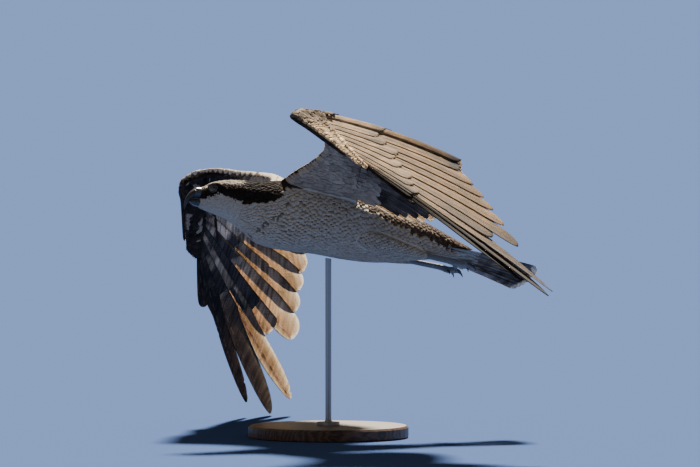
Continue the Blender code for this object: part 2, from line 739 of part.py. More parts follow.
def build_leg(side, plumage, skin, horn, torso_cutter):
    """One thigh, its bare foot with four toes, and their claws."""
    flip = np.array([1 if side == "left" else -1, 1, 1])
    rings = []
    angle = np.linspace(0, 2 * math.pi, 12, endpoint=False)
    for y, x, z, wide, high in spline(
            THIGH[:, 0], THIGH, np.linspace(THIGH[0, 0], THIGH[-1, 0], 8)):
        rings.append(np.stack([
            x + wide * np.cos(angle), np.full(12, y), z + high * np.sin(angle)], axis=1) * flip)
    thigh = solid(f"thigh_{side}", rings, plumage)
    cut(thigh, [torso_cutter])
    ankle = np.array(ANKLE) * MM * flip
    heel = np.array([THIGH[-1, 1], THIGH[-1, 0] + GAP, THIGH[-1, 2]]) * flip
    foot = tube(f"foot_{side}", np.linspace(heel, ankle, 4), SHANK_RADIUS, 9, skin)
    toes = []
    for number, (path, claw_end) in enumerate(TOES, start=1):
        points = curve([ANKLE] + path, 5) * flip
        toes.append(tube("toe", points, TOE_RADII * MM, 6))
        tip = points[-1]
        heading = unit(points[-1] - points[-2])
        end = np.array(claw_end) * MM * flip
        start = tip + heading * GAP
        bend = start + heading * 0.55 * np.linalg.norm(end - start)
        t = np.linspace(0, 1, 5)[:, None]
        claw = (1 - t) ** 2 * start + 2 * t * (1 - t) * bend + t**2 * end
        tube(f"claw_{side}_{number}", claw, CLAW_RADII * MM, 6, horn)
    union(foot, toes)
    largest_surface(foot)


# Stand

def lathe(name, profile, finish, sides=40):
    """A turned solid from (radius, height) pairs, from its lower rim to its upper rim."""
    angle = np.linspace(0, 2 * math.pi, sides, endpoint=False)
    rings = [
        np.stack([r * np.cos(angle), r * np.sin(angle), np.full(sides, z)], axis=1)
        for r, z in profile]
    return solid(name, rings, finish)


def build_stand(wood, steel, torso_cutter):
    """A turned base and one rod that ends at the belly."""
    lathe("stand_base", [
        (BASE_RADIUS - 1.5 * MM, 0), (BASE_RADIUS, 1.5 * MM),
        (BASE_RADIUS, BASE_THICKNESS - BASE_CHAMFER),
        (BASE_RADIUS - BASE_CHAMFER, BASE_THICKNESS)], wood)
    foot = BASE_THICKNESS + GAP
    rod = lathe("stand_rod", [
        (FLANGE_RADIUS, foot), (FLANGE_RADIUS, foot + FLANGE_THICKNESS),
        (ROD_RADIUS + 2 * MM, foot + FLANGE_THICKNESS), (ROD_RADIUS, foot + 8 * MM),
        (ROD_RADIUS, SHOULDER_HEIGHT - 20 * MM)], steel, 16)
    cut(rod, [torso_cutter])


def main():
    """Builds every node, and poses the bird over its stand."""
    clear_scene()
    brown = material("brown_feather", (0.09, 0.06, 0.045), 0.8)
    white = material("white_feather", (0.75, 0.73, 0.68), 0.85)
    horn = material("black_horn", (0.02, 0.02, 0.025), 0.35)
    iris = material("yellow_eye", (0.75, 0.5, 0.06), 0.1)
    skin = material("grey_foot", (0.42, 0.46, 0.47), 0.6)
    wood = material("walnut", (0.12, 0.06, 0.03), 0.45)
    steel = material("brushed_steel", (0.6, 0.6, 0.6), 0.35, 1.0)
    trunk_solid("torso", NECK_END + GAP, TRUNK_END, 16, white)
    trunk_solid("neck", HEAD_END + GAP, NECK_END, 5, white)
    cutter = trunk_solid("torso_cutter", NECK_END - 3 * MM, TRUNK_END + 3 * MM, 24, grow=GAP)
    build_head(white, horn, iris)
    build_tail(brown)
    for side in ("left", "right"):
        build_wing(side, brown, cutter)
        build_leg(side, white, skin, horn, cutter)
    bird = bpy.data.objects.new("bird_pose", None)
    bpy.context.scene.collection.objects.link(bird)
    for obj in bpy.data.objects:
        if obj.type == "MESH":
            obj.parent = bird
    bird.matrix_world = (
        Matrix.Translation((0, -SHOULDER_AHEAD, SHOULDER_HEIGHT))
        @ Matrix.Rotation(math.radians(-PITCH_DEG), 4, "X")
        @ Matrix.Rotation(math.radians(-BANK_DEG), 4, "Y")
    )
    bpy.context.view_layer.update()
    build_stand(wood, steel, cutter)
    drop([cutter])


main()
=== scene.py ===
"""An osprey banking in flight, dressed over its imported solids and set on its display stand."""

import math

import bpy
import numpy as np
from mathutils import Matrix, Vector


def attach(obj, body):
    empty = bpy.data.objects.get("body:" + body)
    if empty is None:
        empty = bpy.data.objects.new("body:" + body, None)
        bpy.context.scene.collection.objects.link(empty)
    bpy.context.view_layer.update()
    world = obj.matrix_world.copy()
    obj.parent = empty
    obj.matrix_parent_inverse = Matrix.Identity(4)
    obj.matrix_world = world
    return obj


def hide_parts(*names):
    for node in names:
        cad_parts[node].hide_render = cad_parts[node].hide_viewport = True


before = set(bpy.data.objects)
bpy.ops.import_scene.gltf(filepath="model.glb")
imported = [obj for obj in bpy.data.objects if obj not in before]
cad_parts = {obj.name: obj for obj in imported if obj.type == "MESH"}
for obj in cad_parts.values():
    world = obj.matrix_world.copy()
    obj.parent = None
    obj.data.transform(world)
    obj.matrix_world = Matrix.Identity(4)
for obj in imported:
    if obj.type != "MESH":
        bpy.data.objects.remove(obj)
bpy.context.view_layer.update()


# How the bird hangs in the air. It is laid out with +X to its left, +Y to its tail and +Z over
# its back, from a point midway between the shoulders, then pitched and banked over the stand.
MM = 0.001
PITCH_DEG = 12.3
BANK_DEG = 12.4
SHOULDER_HEIGHT = 338 * MM
SHOULDER_AHEAD = 40 * MM
POSE = np.array(
    Matrix.Translation((0, -SHOULDER_AHEAD, SHOULDER_HEIGHT))
    @ Matrix.Rotation(math.radians(-PITCH_DEG), 4, "X")
    @ Matrix.Rotation(math.radians(-BANK_DEG), 4, "Y"))
MIRROR = np.diag([-1.0, 1.0, 1.0, 1.0])


def carried(points, matrix=POSE):
    """The points multiplied by a 4 x 4 matrix."""
    return points @ matrix[:3, :3].T + matrix[:3, 3]


# Camera and room. A long lens stands far off the bird's left bow, a little above a plain floor,
# and its frame is 1.045 m wide at the bird. A strong warm light stands high behind the bird, and
# a soft room light and a faint fill from the camera's side light its shaded faces.
VIEW_AZIMUTH = math.radians(70.9)
VIEW_ELEVATION = math.radians(3.0)
VIEW_DISTANCE = 24.0
FRAME_WIDTH = 1.045
PIXEL = FRAME_WIDTH / 700
SHOULDER_PIXEL = (303.0, 212.0)
FRAME_CENTRE = (350.0, 233.5)
FLOOR_RADIUS = 90
FLOOR_COLOUR = (0.070, 0.118, 0.275, 1)
back = np.array([
    math.sin(VIEW_AZIMUTH) * math.cos(VIEW_ELEVATION),
    -math.cos(VIEW_AZIMUTH) * math.cos(VIEW_ELEVATION), math.sin(VIEW_ELEVATION)])
right = np.array([math.cos(VIEW_AZIMUTH), math.sin(VIEW_AZIMUTH), 0.0])
above = np.cross(back, right)
aim = (
    POSE[:3, 3] + right * PIXEL * (FRAME_CENTRE[0] - SHOULDER_PIXEL[0])
    - above * PIXEL * (FRAME_CENTRE[1] - SHOULDER_PIXEL[1]))
lens = bpy.data.cameras.new("camera")
lens.sensor_width = 36.0
lens.lens = 36.0 * VIEW_DISTANCE / FRAME_WIDTH
lens.clip_end = 300.0
camera = bpy.data.objects.new("camera", lens)
bpy.context.scene.collection.objects.link(camera)
turned = np.column_stack([right, above, back, aim + back * VIEW_DISTANCE])
camera.matrix_world = Matrix([*turned.tolist(), [0, 0, 0, 1]])
bpy.context.scene.camera = camera


def sun(name, towards, strength, spread_deg, colour):
    """A soft distant light that comes from the given direction."""
    light = bpy.data.lights.new(name, "SUN")
    light.energy = strength
    light.angle = math.radians(spread_deg)
    light.color = colour
    holder = bpy.data.objects.new(name, light)
    bpy.context.scene.collection.objects.link(holder)
    holder.matrix_world = Vector(towards).to_track_quat("Z", "Y").to_matrix().to_4x4()


def circle(number):
    """The angles of number equal steps round a full turn."""
    return np.linspace(0, 2 * math.pi, number, endpoint=False)


def new_piece(name, points, faces, material):
    """A smooth-shaded mesh object at the origin, with its points in the row's frame."""
    mesh = bpy.data.meshes.new(name)
    mesh.from_pydata(np.asarray(points).tolist(), [], faces)
    mesh.polygons.foreach_set("use_smooth", np.ones(len(mesh.polygons), bool))
    mesh.materials.append(material)
    made = bpy.data.objects.new(name, mesh)
    bpy.context.scene.collection.objects.link(made)
    return made


class Finish:
    """A Principled material in the making. Each method adds nodes and returns their output."""

    def __init__(self, name, roughness, metallic=0.0, **sockets):
        self.material = bpy.data.materials.new(name)
        self.material.use_nodes = True
        self.tree = self.material.node_tree
        self.shader = self.tree.nodes["Principled BSDF"]
        for socket, value in dict(sockets, Roughness=roughness, Metallic=metallic).items():
            self.shader.inputs[socket.replace("_", " ")].default_value = value

    def add(self, kind, inputs=(), output=0, **settings):
        node = self.tree.nodes.new("ShaderNode" + kind)
        for key, value in settings.items():
            setattr(node, key, value)
        for socket, source in dict(inputs).items():
            if isinstance(source, bpy.types.NodeSocket):
                self.tree.links.new(source, node.inputs[socket])
            else:
                node.inputs[socket].default_value = source
        return node.outputs[output]

    def feed(self, source, socket="Base Color"):
        self.tree.links.new(source, self.shader.inputs[socket])

    def place(self):
        return self.add("TexCoord", output="Object")

    def noise(self, vector, scale, detail=2.0, stretch=None):
        if stretch:
            vector = self.add("Mapping", {"Vector": vector, "Scale": stretch})
        return self.add("TexNoise", {"Vector": vector, "Scale": scale, "Detail": detail}, "Fac")

    def maths(self, operation, *values):
        return self.add("Math", dict(enumerate(values)), operation=operation)

    def mix(self, share, first, second, how="MIX"):
        return self.add("Mix", {"Factor": share, "A": first, "B": second}, "Result",
                        data_type="RGBA", blend_type=how)

    def ramp(self, source, *stops):
        """A colour ramp over source, from (place, colour) stops."""
        ramp = self.add("ValToRGB", {"Fac": source}, "Color")
        elements = ramp.node.color_ramp.elements
        while len(elements) < len(stops):
            elements.new(0.5)
        for element, (place, colour) in zip(elements, stops):
            element.position = place
            element.color = (*colour, 1)
        return ramp

    def bump(self, height, strength, distance):
        self.feed(self.add("Bump", {
            "Height": height, "Strength": strength, "Distance": distance}), "Normal")


sun("key_light", 0.78 * above - 0.62 * back + 0.04 * right, 14.5, 6, (1.0, 0.90, 0.76))
sun("fill_light", 0.7 * back + 0.3 * above - 0.4 * right, 0.12, 60, (1.0, 0.84, 0.64))
room = bpy.data.worlds.new("room")
room.use_nodes = True
room.node_tree.nodes["Background"].inputs["Color"].default_value = (1.0, 0.92, 0.82, 1)
room.node_tree.nodes["Background"].inputs["Strength"].default_value = 0.16
bpy.context.scene.world = room
pale = Finish("pale_floor", 0.9, Base_Color=FLOOR_COLOUR, Specular_IOR_Level=0.0)
angle = circle(96)
floor = new_piece(
    "floor", FLOOR_RADIUS * np.stack([np.cos(angle), np.sin(angle), 0 * angle], axis=1),
    [list(range(96))], pale.material)


# Stand. A turned walnut disc with an oiled finish, and a brushed steel rod screwed into it
# through a small round flange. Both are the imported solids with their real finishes.
walnut = Finish("oiled_walnut", 0.42, Coat_Weight=0.15, Coat_Roughness=0.3)
place = walnut.place()
rings = walnut.add("TexWave", {
    "Vector": walnut.add("Mapping", {"Vector": place, "Scale": (6.0, 1.0, 6.0)}), "Scale": 9.0,
    "Distortion": 9.0, "Detail": 3.0, "Detail Scale": 2.0}, "Fac")
grain = walnut.maths(
    "MULTIPLY", rings, walnut.noise(place, 1.0, 4.0, stretch=(900.0, 60.0, 900.0)))
walnut.feed(walnut.ramp(
    grain, (0.0, (0.035, 0.017, 0.009)), (0.35, (0.10, 0.05, 0.026)), (0.8, (0.19, 0.10, 0.055))))
walnut.bump(grain, 0.15, 0.0004)
steel = Finish("brushed_steel", 0.3, 1.0, Base_Color=(0.34, 0.33, 0.32, 1))
lines = steel.noise(steel.place(), 1.0, stretch=(60.0, 60.0, 2500.0))
steel.feed(steel.add("MapRange", {"Value": lines, "To Min": 0.24, "To Max": 0.42}), "Roughness")
steel.bump(lines, 0.2, 0.0002)
for node, made in (("stand_base", walnut), ("stand_rod", steel)):
    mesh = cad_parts[node].data
    mesh.materials.clear()
    mesh.materials.append(made.material)


# Trunk. The head, neck and body are one smooth form of flesh, ring by ring: distance towards
# the tail, height of the back, height of the belly and half the breadth, as in the solids.
def mm(*values):
    """An array of the values, given in millimetres."""
    return MM * np.array(values)


TRUNK = mm(
    [-170, 2, -25, 9], [-164, 7, -29, 14], [-155, 14, -31, 19], [-145, 20, -33, 23],
    [-131, 25, -35, 26], [-112, 29, -40, 28], [-90, 32, -50, 31], [-68, 36, -62, 39],
    [-40, 42, -65, 50], [-10, 46, -64, 58], [30, 48, -60, 61], [75, 45, -59, 58],
    [115, 38, -56, 51], [160, 30, -47, 42], [195, 24, -37, 33], [225, 15, -29, 26],
    [258, 5, -22, 19],
)
TRUNK_POWER = 0.92
COAT_DEPTH = 3.0 * MM
rng = np.random.default_rng(7)


def chance(*shape):
    """Random numbers that spread normally about 0."""
    return rng.normal(size=shape)


def unit(vector):
    """The vector, or each of a row of vectors, at length one."""
    return vector / np.maximum(np.linalg.norm(vector, axis=-1, keepdims=True), 1e-12)


def spline(at, knots, where):
    """A cubic Hermite curve through the knots whose slopes are weighted from both neighbours,
    and which runs on straight beyond its ends."""
    at, knots, where = (np.asarray(value, float) for value in (at, knots, where))
    span = np.diff(at)
    chord = np.diff(knots, axis=0) / span[:, None]
    weight = (span[1:] / (span[1:] + span[:-1]))[:, None]
    slope = np.concatenate([
        chord[:1], weight * chord[:-1] + (1 - weight) * chord[1:], chord[-1:]])
    cell = np.clip(np.searchsorted(at, where, side="right") - 1, 0, len(at) - 2)
    width = span[cell]
    u = (where - at[cell]) / width
    inside = np.clip(u, 0, 1)
    beyond = ((u - inside) * width)[..., None]
    u, width = inside[..., None], width[..., None]
    value = (
        (2 * u**3 - 3 * u**2 + 1) * knots[cell] + (u**3 - 2 * u**2 + u) * width * slope[cell]
        + (3 * u**2 - 2 * u**3) * knots[cell + 1] + (u**3 - u**2) * width * slope[cell + 1])
    return value + beyond * np.where(beyond < 0, slope[cell], slope[cell + 1])


def smooth(low, high, value):
    """0 below low, 1 above high, with a cubic ease between them."""
    u = np.clip((value - low) / (high - low), 0, 1)
    return u * u * (3 - 2 * u)


def trunk(y, turn):
    """The trunk's skin at distance y and at an angle turn about it, 0 at the left and a quarter
    turn at the back: a superellipse between back and belly, a coat's depth inside them."""
    top, bottom, half = np.moveaxis(spline(TRUNK[:, 0], TRUNK[:, 1:], y), -1, 0)
    across, upward = (
        np.sign(wave) * np.abs(wave) ** TRUNK_POWER for wave in (np.cos(turn), np.sin(turn)))
    return np.stack([
        (half - COAT_DEPTH) * across, y + 0 * turn,
        0.5 * (top + bottom) + (0.5 * (top - bottom) - COAT_DEPTH) * upward], axis=-1)


# Wing. The flight feathers of each wing lie in one cambered sheet. Index 0 is its innermost
# tertial, 17 the outermost secondary and 27 the outermost primary; roots, middles and tips run
# smoothly with the index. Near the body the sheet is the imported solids' own.
ARM_FEATHERS = 18
PRIMARIES = 10
LAYER_STEP = 1.15 * MM
PRIMARY_REACH = mm(264, 288, 310, 333, 362, 405, 465, 508, 514, 470)
GROWN_SHARE = {24: 0.76}
MANUS_LENGTH = 122 * MM
MANUS_EDGE = np.array([[18, 0.03], [20.5, 0.33], [24, 0.7], [28.5, 1.14]])
FEATHER_CAMBER = ([0, 10, 17, 19, 23, 27], [0.05, 0.07, 0.085, 0.085, 0.06, 0.035])
FEATHER_SWEEP = 0.02
LEADING_EDGE = mm(
    [22, -50, 34], [50, -43, 43], [90, -28, 57], [130, -27, 69], [180, -55, 80], [222, -100, 90],
)
QUILL_LINE = mm(
    [28, 46, 26], [76, 46, 30], [112, 38, 38], [160, 20, 55], [195, -32, 77], [219, -84, 93],
)
TRAILING_EDGE = mm(
    [40, 120, 26], [74, 124, 8], [112, 170, 6], [160, 179, 25], [215, 163, 47], [250, 146, 60],
)
EDGE_INDEX = np.array([-2.5, 0, 4, 8, 12, 16])
CORE_INDEX = [-2.4, 2, 8, 14, 18, 22, 28.5]
CORE_HEIGHTS = {1: mm(14, 13, 12, 10, 8, 6.5, 3),
                -1: mm(12, 10, 8, 7, 7, 5, 2.5)}
CORE_REAR_HALF = 4.6 * MM
CORE_OVER_QUILLS = 16 * MM
CORE_SUNK = 2.2 * MM
PROFILE = np.array([[0, 0, 0], [0.05, 0.5, 0.5], [0.22, 1, 0.9], [0.5, 0.9, 0.8],
                    [0.8, 0.35, 0.35], [1, 0, 0]])
HANDS = {
    "left": dict(
        wrist=mm(232.5, -120, 88), axis=np.array([0.572, 0.647, -0.505]),
        chord=np.array([-0.483, 0.763, 0.430]), manus_deg=-5.0, knuckles_back=mm(14, 6),
        edge_ahead=mm(10, 6, 3, 3), arm_rise=3 * MM, tips_outward=8 * MM,
        fan_deg=[35.5, 28.8, 23.8, 19.3, 14.4, 8.8, 4.6, 1.2, -0.8, -2.1]),
    "right": dict(
        wrist=mm(234, -107, 71), axis=np.array([0.646, 0.578, -0.496]),
        chord=np.array([-0.238, 0.755, 0.611]), manus_deg=-15.0, knuckles_back=mm(14, 14),
        edge_ahead=mm(10, 7, 5, 3), arm_rise=8 * MM, tips_outward=52 * MM,
        fan_deg=[34.6, 28.6, 23.2, 18.6, 14.4, 10.2, 7.3, 4.3, 0.1, -3.5]),
}


class Sheet:
    """A feather's line for each index is a quadratic curve from its root, past a middle raised
    by the camber, to its tip, and roots, middles and tips are splines of the index."""

    def __init__(self, index, roots, tips, camber, sweep=0.0):
        self.index, self.roots, self.tips = (np.asarray(v, float) for v in (index, roots, tips))
        out = np.gradient(self.roots + 0.4 * (self.tips - self.roots), self.index, axis=0)
        along = unit(self.tips - self.roots)
        out = unit(out - along * (out * along).sum(1, keepdims=True))
        up = unit(np.cross(out, along))
        length = np.linalg.norm(self.tips - self.roots, axis=1)[:, None]
        rise = np.broadcast_to(np.asarray(camber, float), (len(self.index),))[:, None]
        self.middles = 0.5 * (self.roots + self.tips) + length * (rise * up + sweep * out)

    def at(self, q, t):
        root, middle, tip = (
            spline(self.index, line, q) for line in (self.roots, self.middles, self.tips))
        t = np.asarray(t, float)[..., None]
        return (1 - t) ** 2 * root + 2 * t * (1 - t) * middle + t**2 * tip

    def frame(self, q, t):
        """Point, direction along the feather, dorsal normal and distance to the next one."""
        e = 0.02
        along = (self.at(q, t + e) - self.at(q, t - e)) / (2 * e)
        out = (self.at(q + e, t) - self.at(q - e, t)) / (2 * e)
        tangent = unit(along)
        across = out - tangent * (out * tangent).sum(-1, keepdims=True)
        return self.at(q, t), along, unit(np.cross(out, along)), np.linalg.norm(across, axis=-1)

    def beside(self, q, v, t):
        """The point v feathers beside (q, t), squarely across the shaft, and its normal."""
        here, along, _, _ = self.frame(q, t)
        tangent, speed = unit(along), np.linalg.norm(along, axis=-1)
        slid = np.array(t, float)
        for _ in range(4):
            slid = slid - ((self.at(q + v, slid) - here) * tangent).sum(-1) / speed
        point, _, normal, _ = self.frame(q + v, slid)
        return point, normal


def wing_sheet(wrist, axis, chord, manus_deg, knuckles_back, edge_ahead, arm_rise,
               tips_outward, fan_deg):
    """(sheet, leading edge) of one wing, drawn as the left one. The hand's quills stand along
    the manus and its feathers fan out from the wrist, both in the plane of axis and chord; the
    arm's roots, tips and edge are shared curves, moved along with the wrist."""
    axis = unit(axis)
    chord = unit(chord - axis * (chord @ axis))

    def fan(degrees):
        turn = np.radians(np.asarray(degrees, float))[..., None]
        return np.cos(turn) * axis + np.sin(turn) * chord

    manus, rear = fan(manus_deg), fan(manus_deg + 90.0)
    share = np.linspace(0.1, 1.0, PRIMARIES)[:, None]
    knuckles = np.interp(share, [0, 1], knuckles_back)
    hand_roots = wrist + manus * MANUS_LENGTH * share + rear * knuckles
    hand_tips = wrist + fan(fan_deg) * PRIMARY_REACH[:, None]
    shift = wrist - HANDS["left"]["wrist"]
    rise = np.array([0, 0, arm_rise])

    def stands_off(index):
        share = np.clip(index / ARM_FEATHERS, 0, 1)[:, None]
        return share**1.5 * shift + 4 * share * (1 - share) * rise

    arm = np.arange(ARM_FEATHERS, dtype=float)
    arm_roots = spline(EDGE_INDEX, QUILL_LINE, arm) + stands_off(arm)
    arm_tips = spline(EDGE_INDEX, TRAILING_EDGE, arm) + stands_off(arm)
    arm_tips[:, 0] += tips_outward * (arm / ARM_FEATHERS) ** 2
    index = np.arange(ARM_FEATHERS + PRIMARIES)
    sheet = Sheet(
        index, np.concatenate([arm_roots, hand_roots]), np.concatenate([arm_tips, hand_tips]),
        np.interp(index, *FEATHER_CAMBER), FEATHER_SWEEP)
    edge = np.concatenate([
        LEADING_EDGE + stands_off(EDGE_INDEX),
        wrist + MANUS_LENGTH * MANUS_EDGE[:, 1:] * manus - edge_ahead[:, None] * rear])
    edge_index = np.concatenate([EDGE_INDEX, MANUS_EDGE[:, 0]])
    return sheet, lambda s: spline(edge_index, edge, s)


def wing_surface(sheet, edge, side):
    """The wing's flesh on its upper (side 1) or lower (side -1) face, sunk by a coat's depth.

    At index s and share f of the chord it is the line from the leading edge to the quills,
    raised by a profile; past f = 1 it runs on over the feathers' sheet at the same height."""
    def surface(s, f):
        s, f = np.broadcast_arrays(np.asarray(s, float), np.asarray(f, float))
        nose = edge(s)
        root, along, up, _ = sheet.frame(s, np.zeros(s.shape))
        length = np.linalg.norm(along, axis=-1)
        chord = root + unit(along) * CORE_OVER_QUILLS - nose
        size = np.linalg.norm(chord, axis=-1)
        up = unit(up - chord * ((up * chord).sum(-1) / size**2)[..., None])
        inner = np.clip(f, 0, 1)
        profile = spline(PROFILE[:, 0], PROFILE[:, 1:], inner)[..., 0 if side > 0 else 1]
        rise = np.interp(s, CORE_INDEX, CORE_HEIGHTS[side]) * profile
        rise = rise + inner**3 * CORE_REAR_HALF - CORE_SUNK * smooth(0.0, 0.25, inner)
        flesh = nose + inner[..., None] * chord + side * up * rise[..., None]
        past = np.clip(f - 1, 0, None) * size / length
        start = CORE_OVER_QUILLS / length
        lift = CORE_REAR_HALF - CORE_SUNK
        far, _, normal, _ = sheet.frame(s, start + past)
        far = far + side * normal * lift
        base, _, normal, _ = sheet.frame(s, start)
        gap = flesh - (base + side * normal * lift)
        fade = np.exp(-past * length / (10 * MM))[..., None]
        return np.where((f > 1)[..., None], far + gap * fade, flesh)

    return surface


wings = {
    side_name: (*wing_sheet(**hand), np.eye(4) if side_name == "left" else MIRROR)
    for side_name, hand in HANDS.items()}


# Skin. One unbroken hide under all the plumage: trunk, arms of the wings, thighs and root of the
# tail are fused and smoothed, so that no seam shows, a coat's depth inside the solids.
BROW_LINE = mm([14, -165, 4], [18.5, -157, 9.5], [21, -148, 12], [21, -138, 11])
BROW_RADII = [1, 2.2, 2.8, 3, 2.8, 2, 0.9]
THIGH = mm(
    [58, 40, -24, 6, 10], [85, 42, -28, 15, 18], [115, 40, -31, 17, 18], [145, 35, -31, 14, 14],
    [175, 30, -32, 10, 10], [194, 27, -33, 6.5, 6.5])
BODY_HALF = 62 * MM
EYE_AT = mm(14.0, -151, 3)
STRIPE_Y = [-168, -158, -150, -142, -130, -111, -96, -85, -72, -60, -51, -40, -30, -10, 60, 105,
            150, 190, 225, 255]
STRIPE_LOW = [-14, -15, -10, -3, -6, -9, -9, -12, -6, -3, -1, 6, 20, 30, 22, 11, 1, -5, -9, -13]
CROWN_Y = [-168, -158, -150, -140, -125, -111, -98, -90, -82]
CROWN_LOW = [-2, 4, 11, 12, 13, 14, 18, 24, 60]
WHITE = np.array([0.57, 0.51, 0.42])
STRIPE = np.array([0.022, 0.016, 0.013])
MANTLE = np.array([0.105, 0.072, 0.050])
SIDES = (("left", np.array([1, 1, 1])), ("right", np.array([-1, 1, 1])))


def blend(first, second, share):
    """first where share is 0 and second where it is 1."""
    return first * (1 - share) + second * share


def grid_quads(rows, sides, ends_meet=False):
    """Faces between the neighbours of rows rings, each closed over its sides points."""
    i, j = np.meshgrid(np.arange(rows - 1 + ends_meet), np.arange(sides), indexing="ij")
    k, n = (j + 1) % sides, (i + 1) % rows
    return np.stack([
        i * sides + j, i * sides + k, n * sides + k, n * sides + j], -1).reshape(-1, 4)


def joined(tubes):
    """(points, faces) of closed tubes given as rings in the bird's frame. Each is capped at the
    middles of its end rings, and turned so that its faces point outwards."""
    points, faces, start = [], [], 0
    for rings in tubes:
        rings = carried(rings)
        rows, sides = rings.shape[:2]
        tube = np.concatenate([rings.reshape(-1, 3), rings[:1].mean(1), rings[-1:].mean(1)])
        quads = grid_quads(rows, sides)
        j = np.arange(sides)
        k = (j + 1) % sides
        first, last = np.full((2, sides), [[rows * sides], [rows * sides + 1]])
        caps = np.concatenate([
            np.stack([first, k, j], 1),
            np.stack([last, (rows - 1) * sides + j, (rows - 1) * sides + k], 1)])
        turn = -1 if np.linalg.det((tube[quads] - tube.mean(0))[:, :3]).sum() < 0 else 1
        faces += [face[::turn] for face in (quads + start).tolist() + (caps + start).tolist()]
        points.append(tube)
        start += len(tube)
    return np.concatenate(points), faces


def fused(piece, voxel, passes):
    """The piece's overlapping tubes made one closed skin of small faces, and smoothed."""
    fuse = piece.modifiers.new("fuse", "REMESH")
    fuse.mode = "VOXEL"
    fuse.voxel_size = voxel
    piece.modifiers.new("soften", "SMOOTH").iterations = passes
    whole = bpy.data.meshes.new_from_object(
        piece.evaluated_get(bpy.context.evaluated_depsgraph_get()))
    piece.modifiers.clear()
    piece.data = whole
    whole.polygons.foreach_set("use_smooth", np.ones(len(whole.polygons), bool))
    return whole


def paint(mesh, name, colours):
    """Stores one colour for each point as an attribute that the material reads."""
    rgba = np.concatenate([colours, np.ones((len(colours), 1))], axis=1)
    layer = mesh.attributes.new(name, "FLOAT_COLOR", "POINT")
    layer.data.foreach_set("color", rgba.astype(np.float32).ravel())


def body_colours(points, noise):
    """(colour, how much of a pale tip) at points in the body's own frame. A dark stripe runs
    from the bill through the eye and down the nape into the brown back, under a white crown;
    short streaks cross the upper breast, and all the rest is white."""
    x, y, z = np.moveaxis(points / MM, -1, 0)
    z = z + 0.9 * noise[..., 0]
    dark = (z > np.interp(y, STRIPE_Y, STRIPE_LOW)) & (
        (z < np.interp(y, CROWN_Y, CROWN_LOW)) | (y > -84))
    streak = (np.abs(z - y - 13) < 9) & (y > -70) & (y < -24) & (noise[..., 1] > 0.45) & ~dark
    spot = (z > 16) & (y < -120) & (noise[..., 1] > 1.1)
    brown = blend(STRIPE, MANTLE, smooth(-60, 10, y)[..., None]) * (1 + 0.22 * noise[..., 2:3])
    colour = np.where(dark[..., None], brown, WHITE * (1 + 0.05 * noise[..., 2:3]))
    colour = np.where((streak | spot)[..., None], blend(WHITE, STRIPE, 0.65), colour)
    return np.clip(colour, 0, 0.95), np.where(dark, smooth(-40, 30, y), 0.0)


def thigh(y, turn):
    """The left thigh at distance y: an oval about its own sloping line."""
    row = spline(THIGH[:, 0], THIGH[:, 1:], y)
    return np.stack([
        row[..., 0] + (row[..., 2] - COAT_DEPTH) * np.cos(turn), y + 0 * turn,
        row[..., 1] + (row[..., 3] - COAT_DEPTH) * np.sin(turn)], axis=-1)


down = Finish("down", 0.95, Specular_IOR_Level=0.1)
down.feed(down.add("Attribute", output="Color", attribute_name="plumage"))
down.bump(down.noise(down.place(), 700.0), 0.5, 0.0006)
turn = circle(64)
tubes = [trunk(np.linspace(-165.5 * MM, 254 * MM, 130)[:, None], turn[None, :])]
for _, mirror in SIDES:
    rows = np.linspace(THIGH[0, 0] - 10 * MM, THIGH[-1, 0], 40)
    tubes.append(thigh(rows[:, None], turn[None, ::2]) * mirror)
    far = np.linspace(0, 1, 24)
    line = spline(np.linspace(0, 1, 4), BROW_LINE, far) * mirror
    swell = np.interp(far, np.linspace(0, 1, 7), BROW_RADII)[:, None, None] * MM
    ring = np.stack([np.cos(turn[::4]), 0 * turn[::4], np.sin(turn[::4])], axis=1)
    tubes.append(line[:, None] - mm(1.5, 0, 1.5) * mirror + ring[None] * swell)
for sheet, edge, place in wings.values():
    s = np.linspace(-2.4, 28.4, 120)[:, None]
    f = np.linspace(0, 1, 20)[None, :]
    over, under = (wing_surface(sheet, edge, side)(s, f) for side in (1, -1))
    tubes.append(carried(np.concatenate([over, under[:, -1:0:-1]], axis=1), place))
skin = new_piece("skin", *joined(tubes), down.material)
whole = fused(skin, 2.2 * MM, 4)
at = np.empty(len(whole.vertices) * 3)
whole.vertices.foreach_get("co", at)
at = carried(at.reshape(-1, 3), np.linalg.inv(POSE))
tint = body_colours(at, chance(len(at), 3) * 0.4)[0]
paint(whole, "plumage", np.where(np.abs(at[:, :1]) > BODY_HALF, MANTLE * 1.1, tint))
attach(skin, "root")
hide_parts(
    "head", "neck", "torso", "thigh_left", "thigh_right", "wing_left_arm",
    "wing_left_hand", "wing_right_arm", "wing_right_hand", "tail", "alula_left", "alula_right")


# Body plumage. Thousands of small contour feathers lie back over one another from the bill to
# the tail, tiny on the face and broad on the back; each one's quill is sunk in the skin.
EDGE_DROOP = 0.15 * MM
EYE_OPENING = 6.6 * MM
QUILL_SUNK = 0.4 * MM


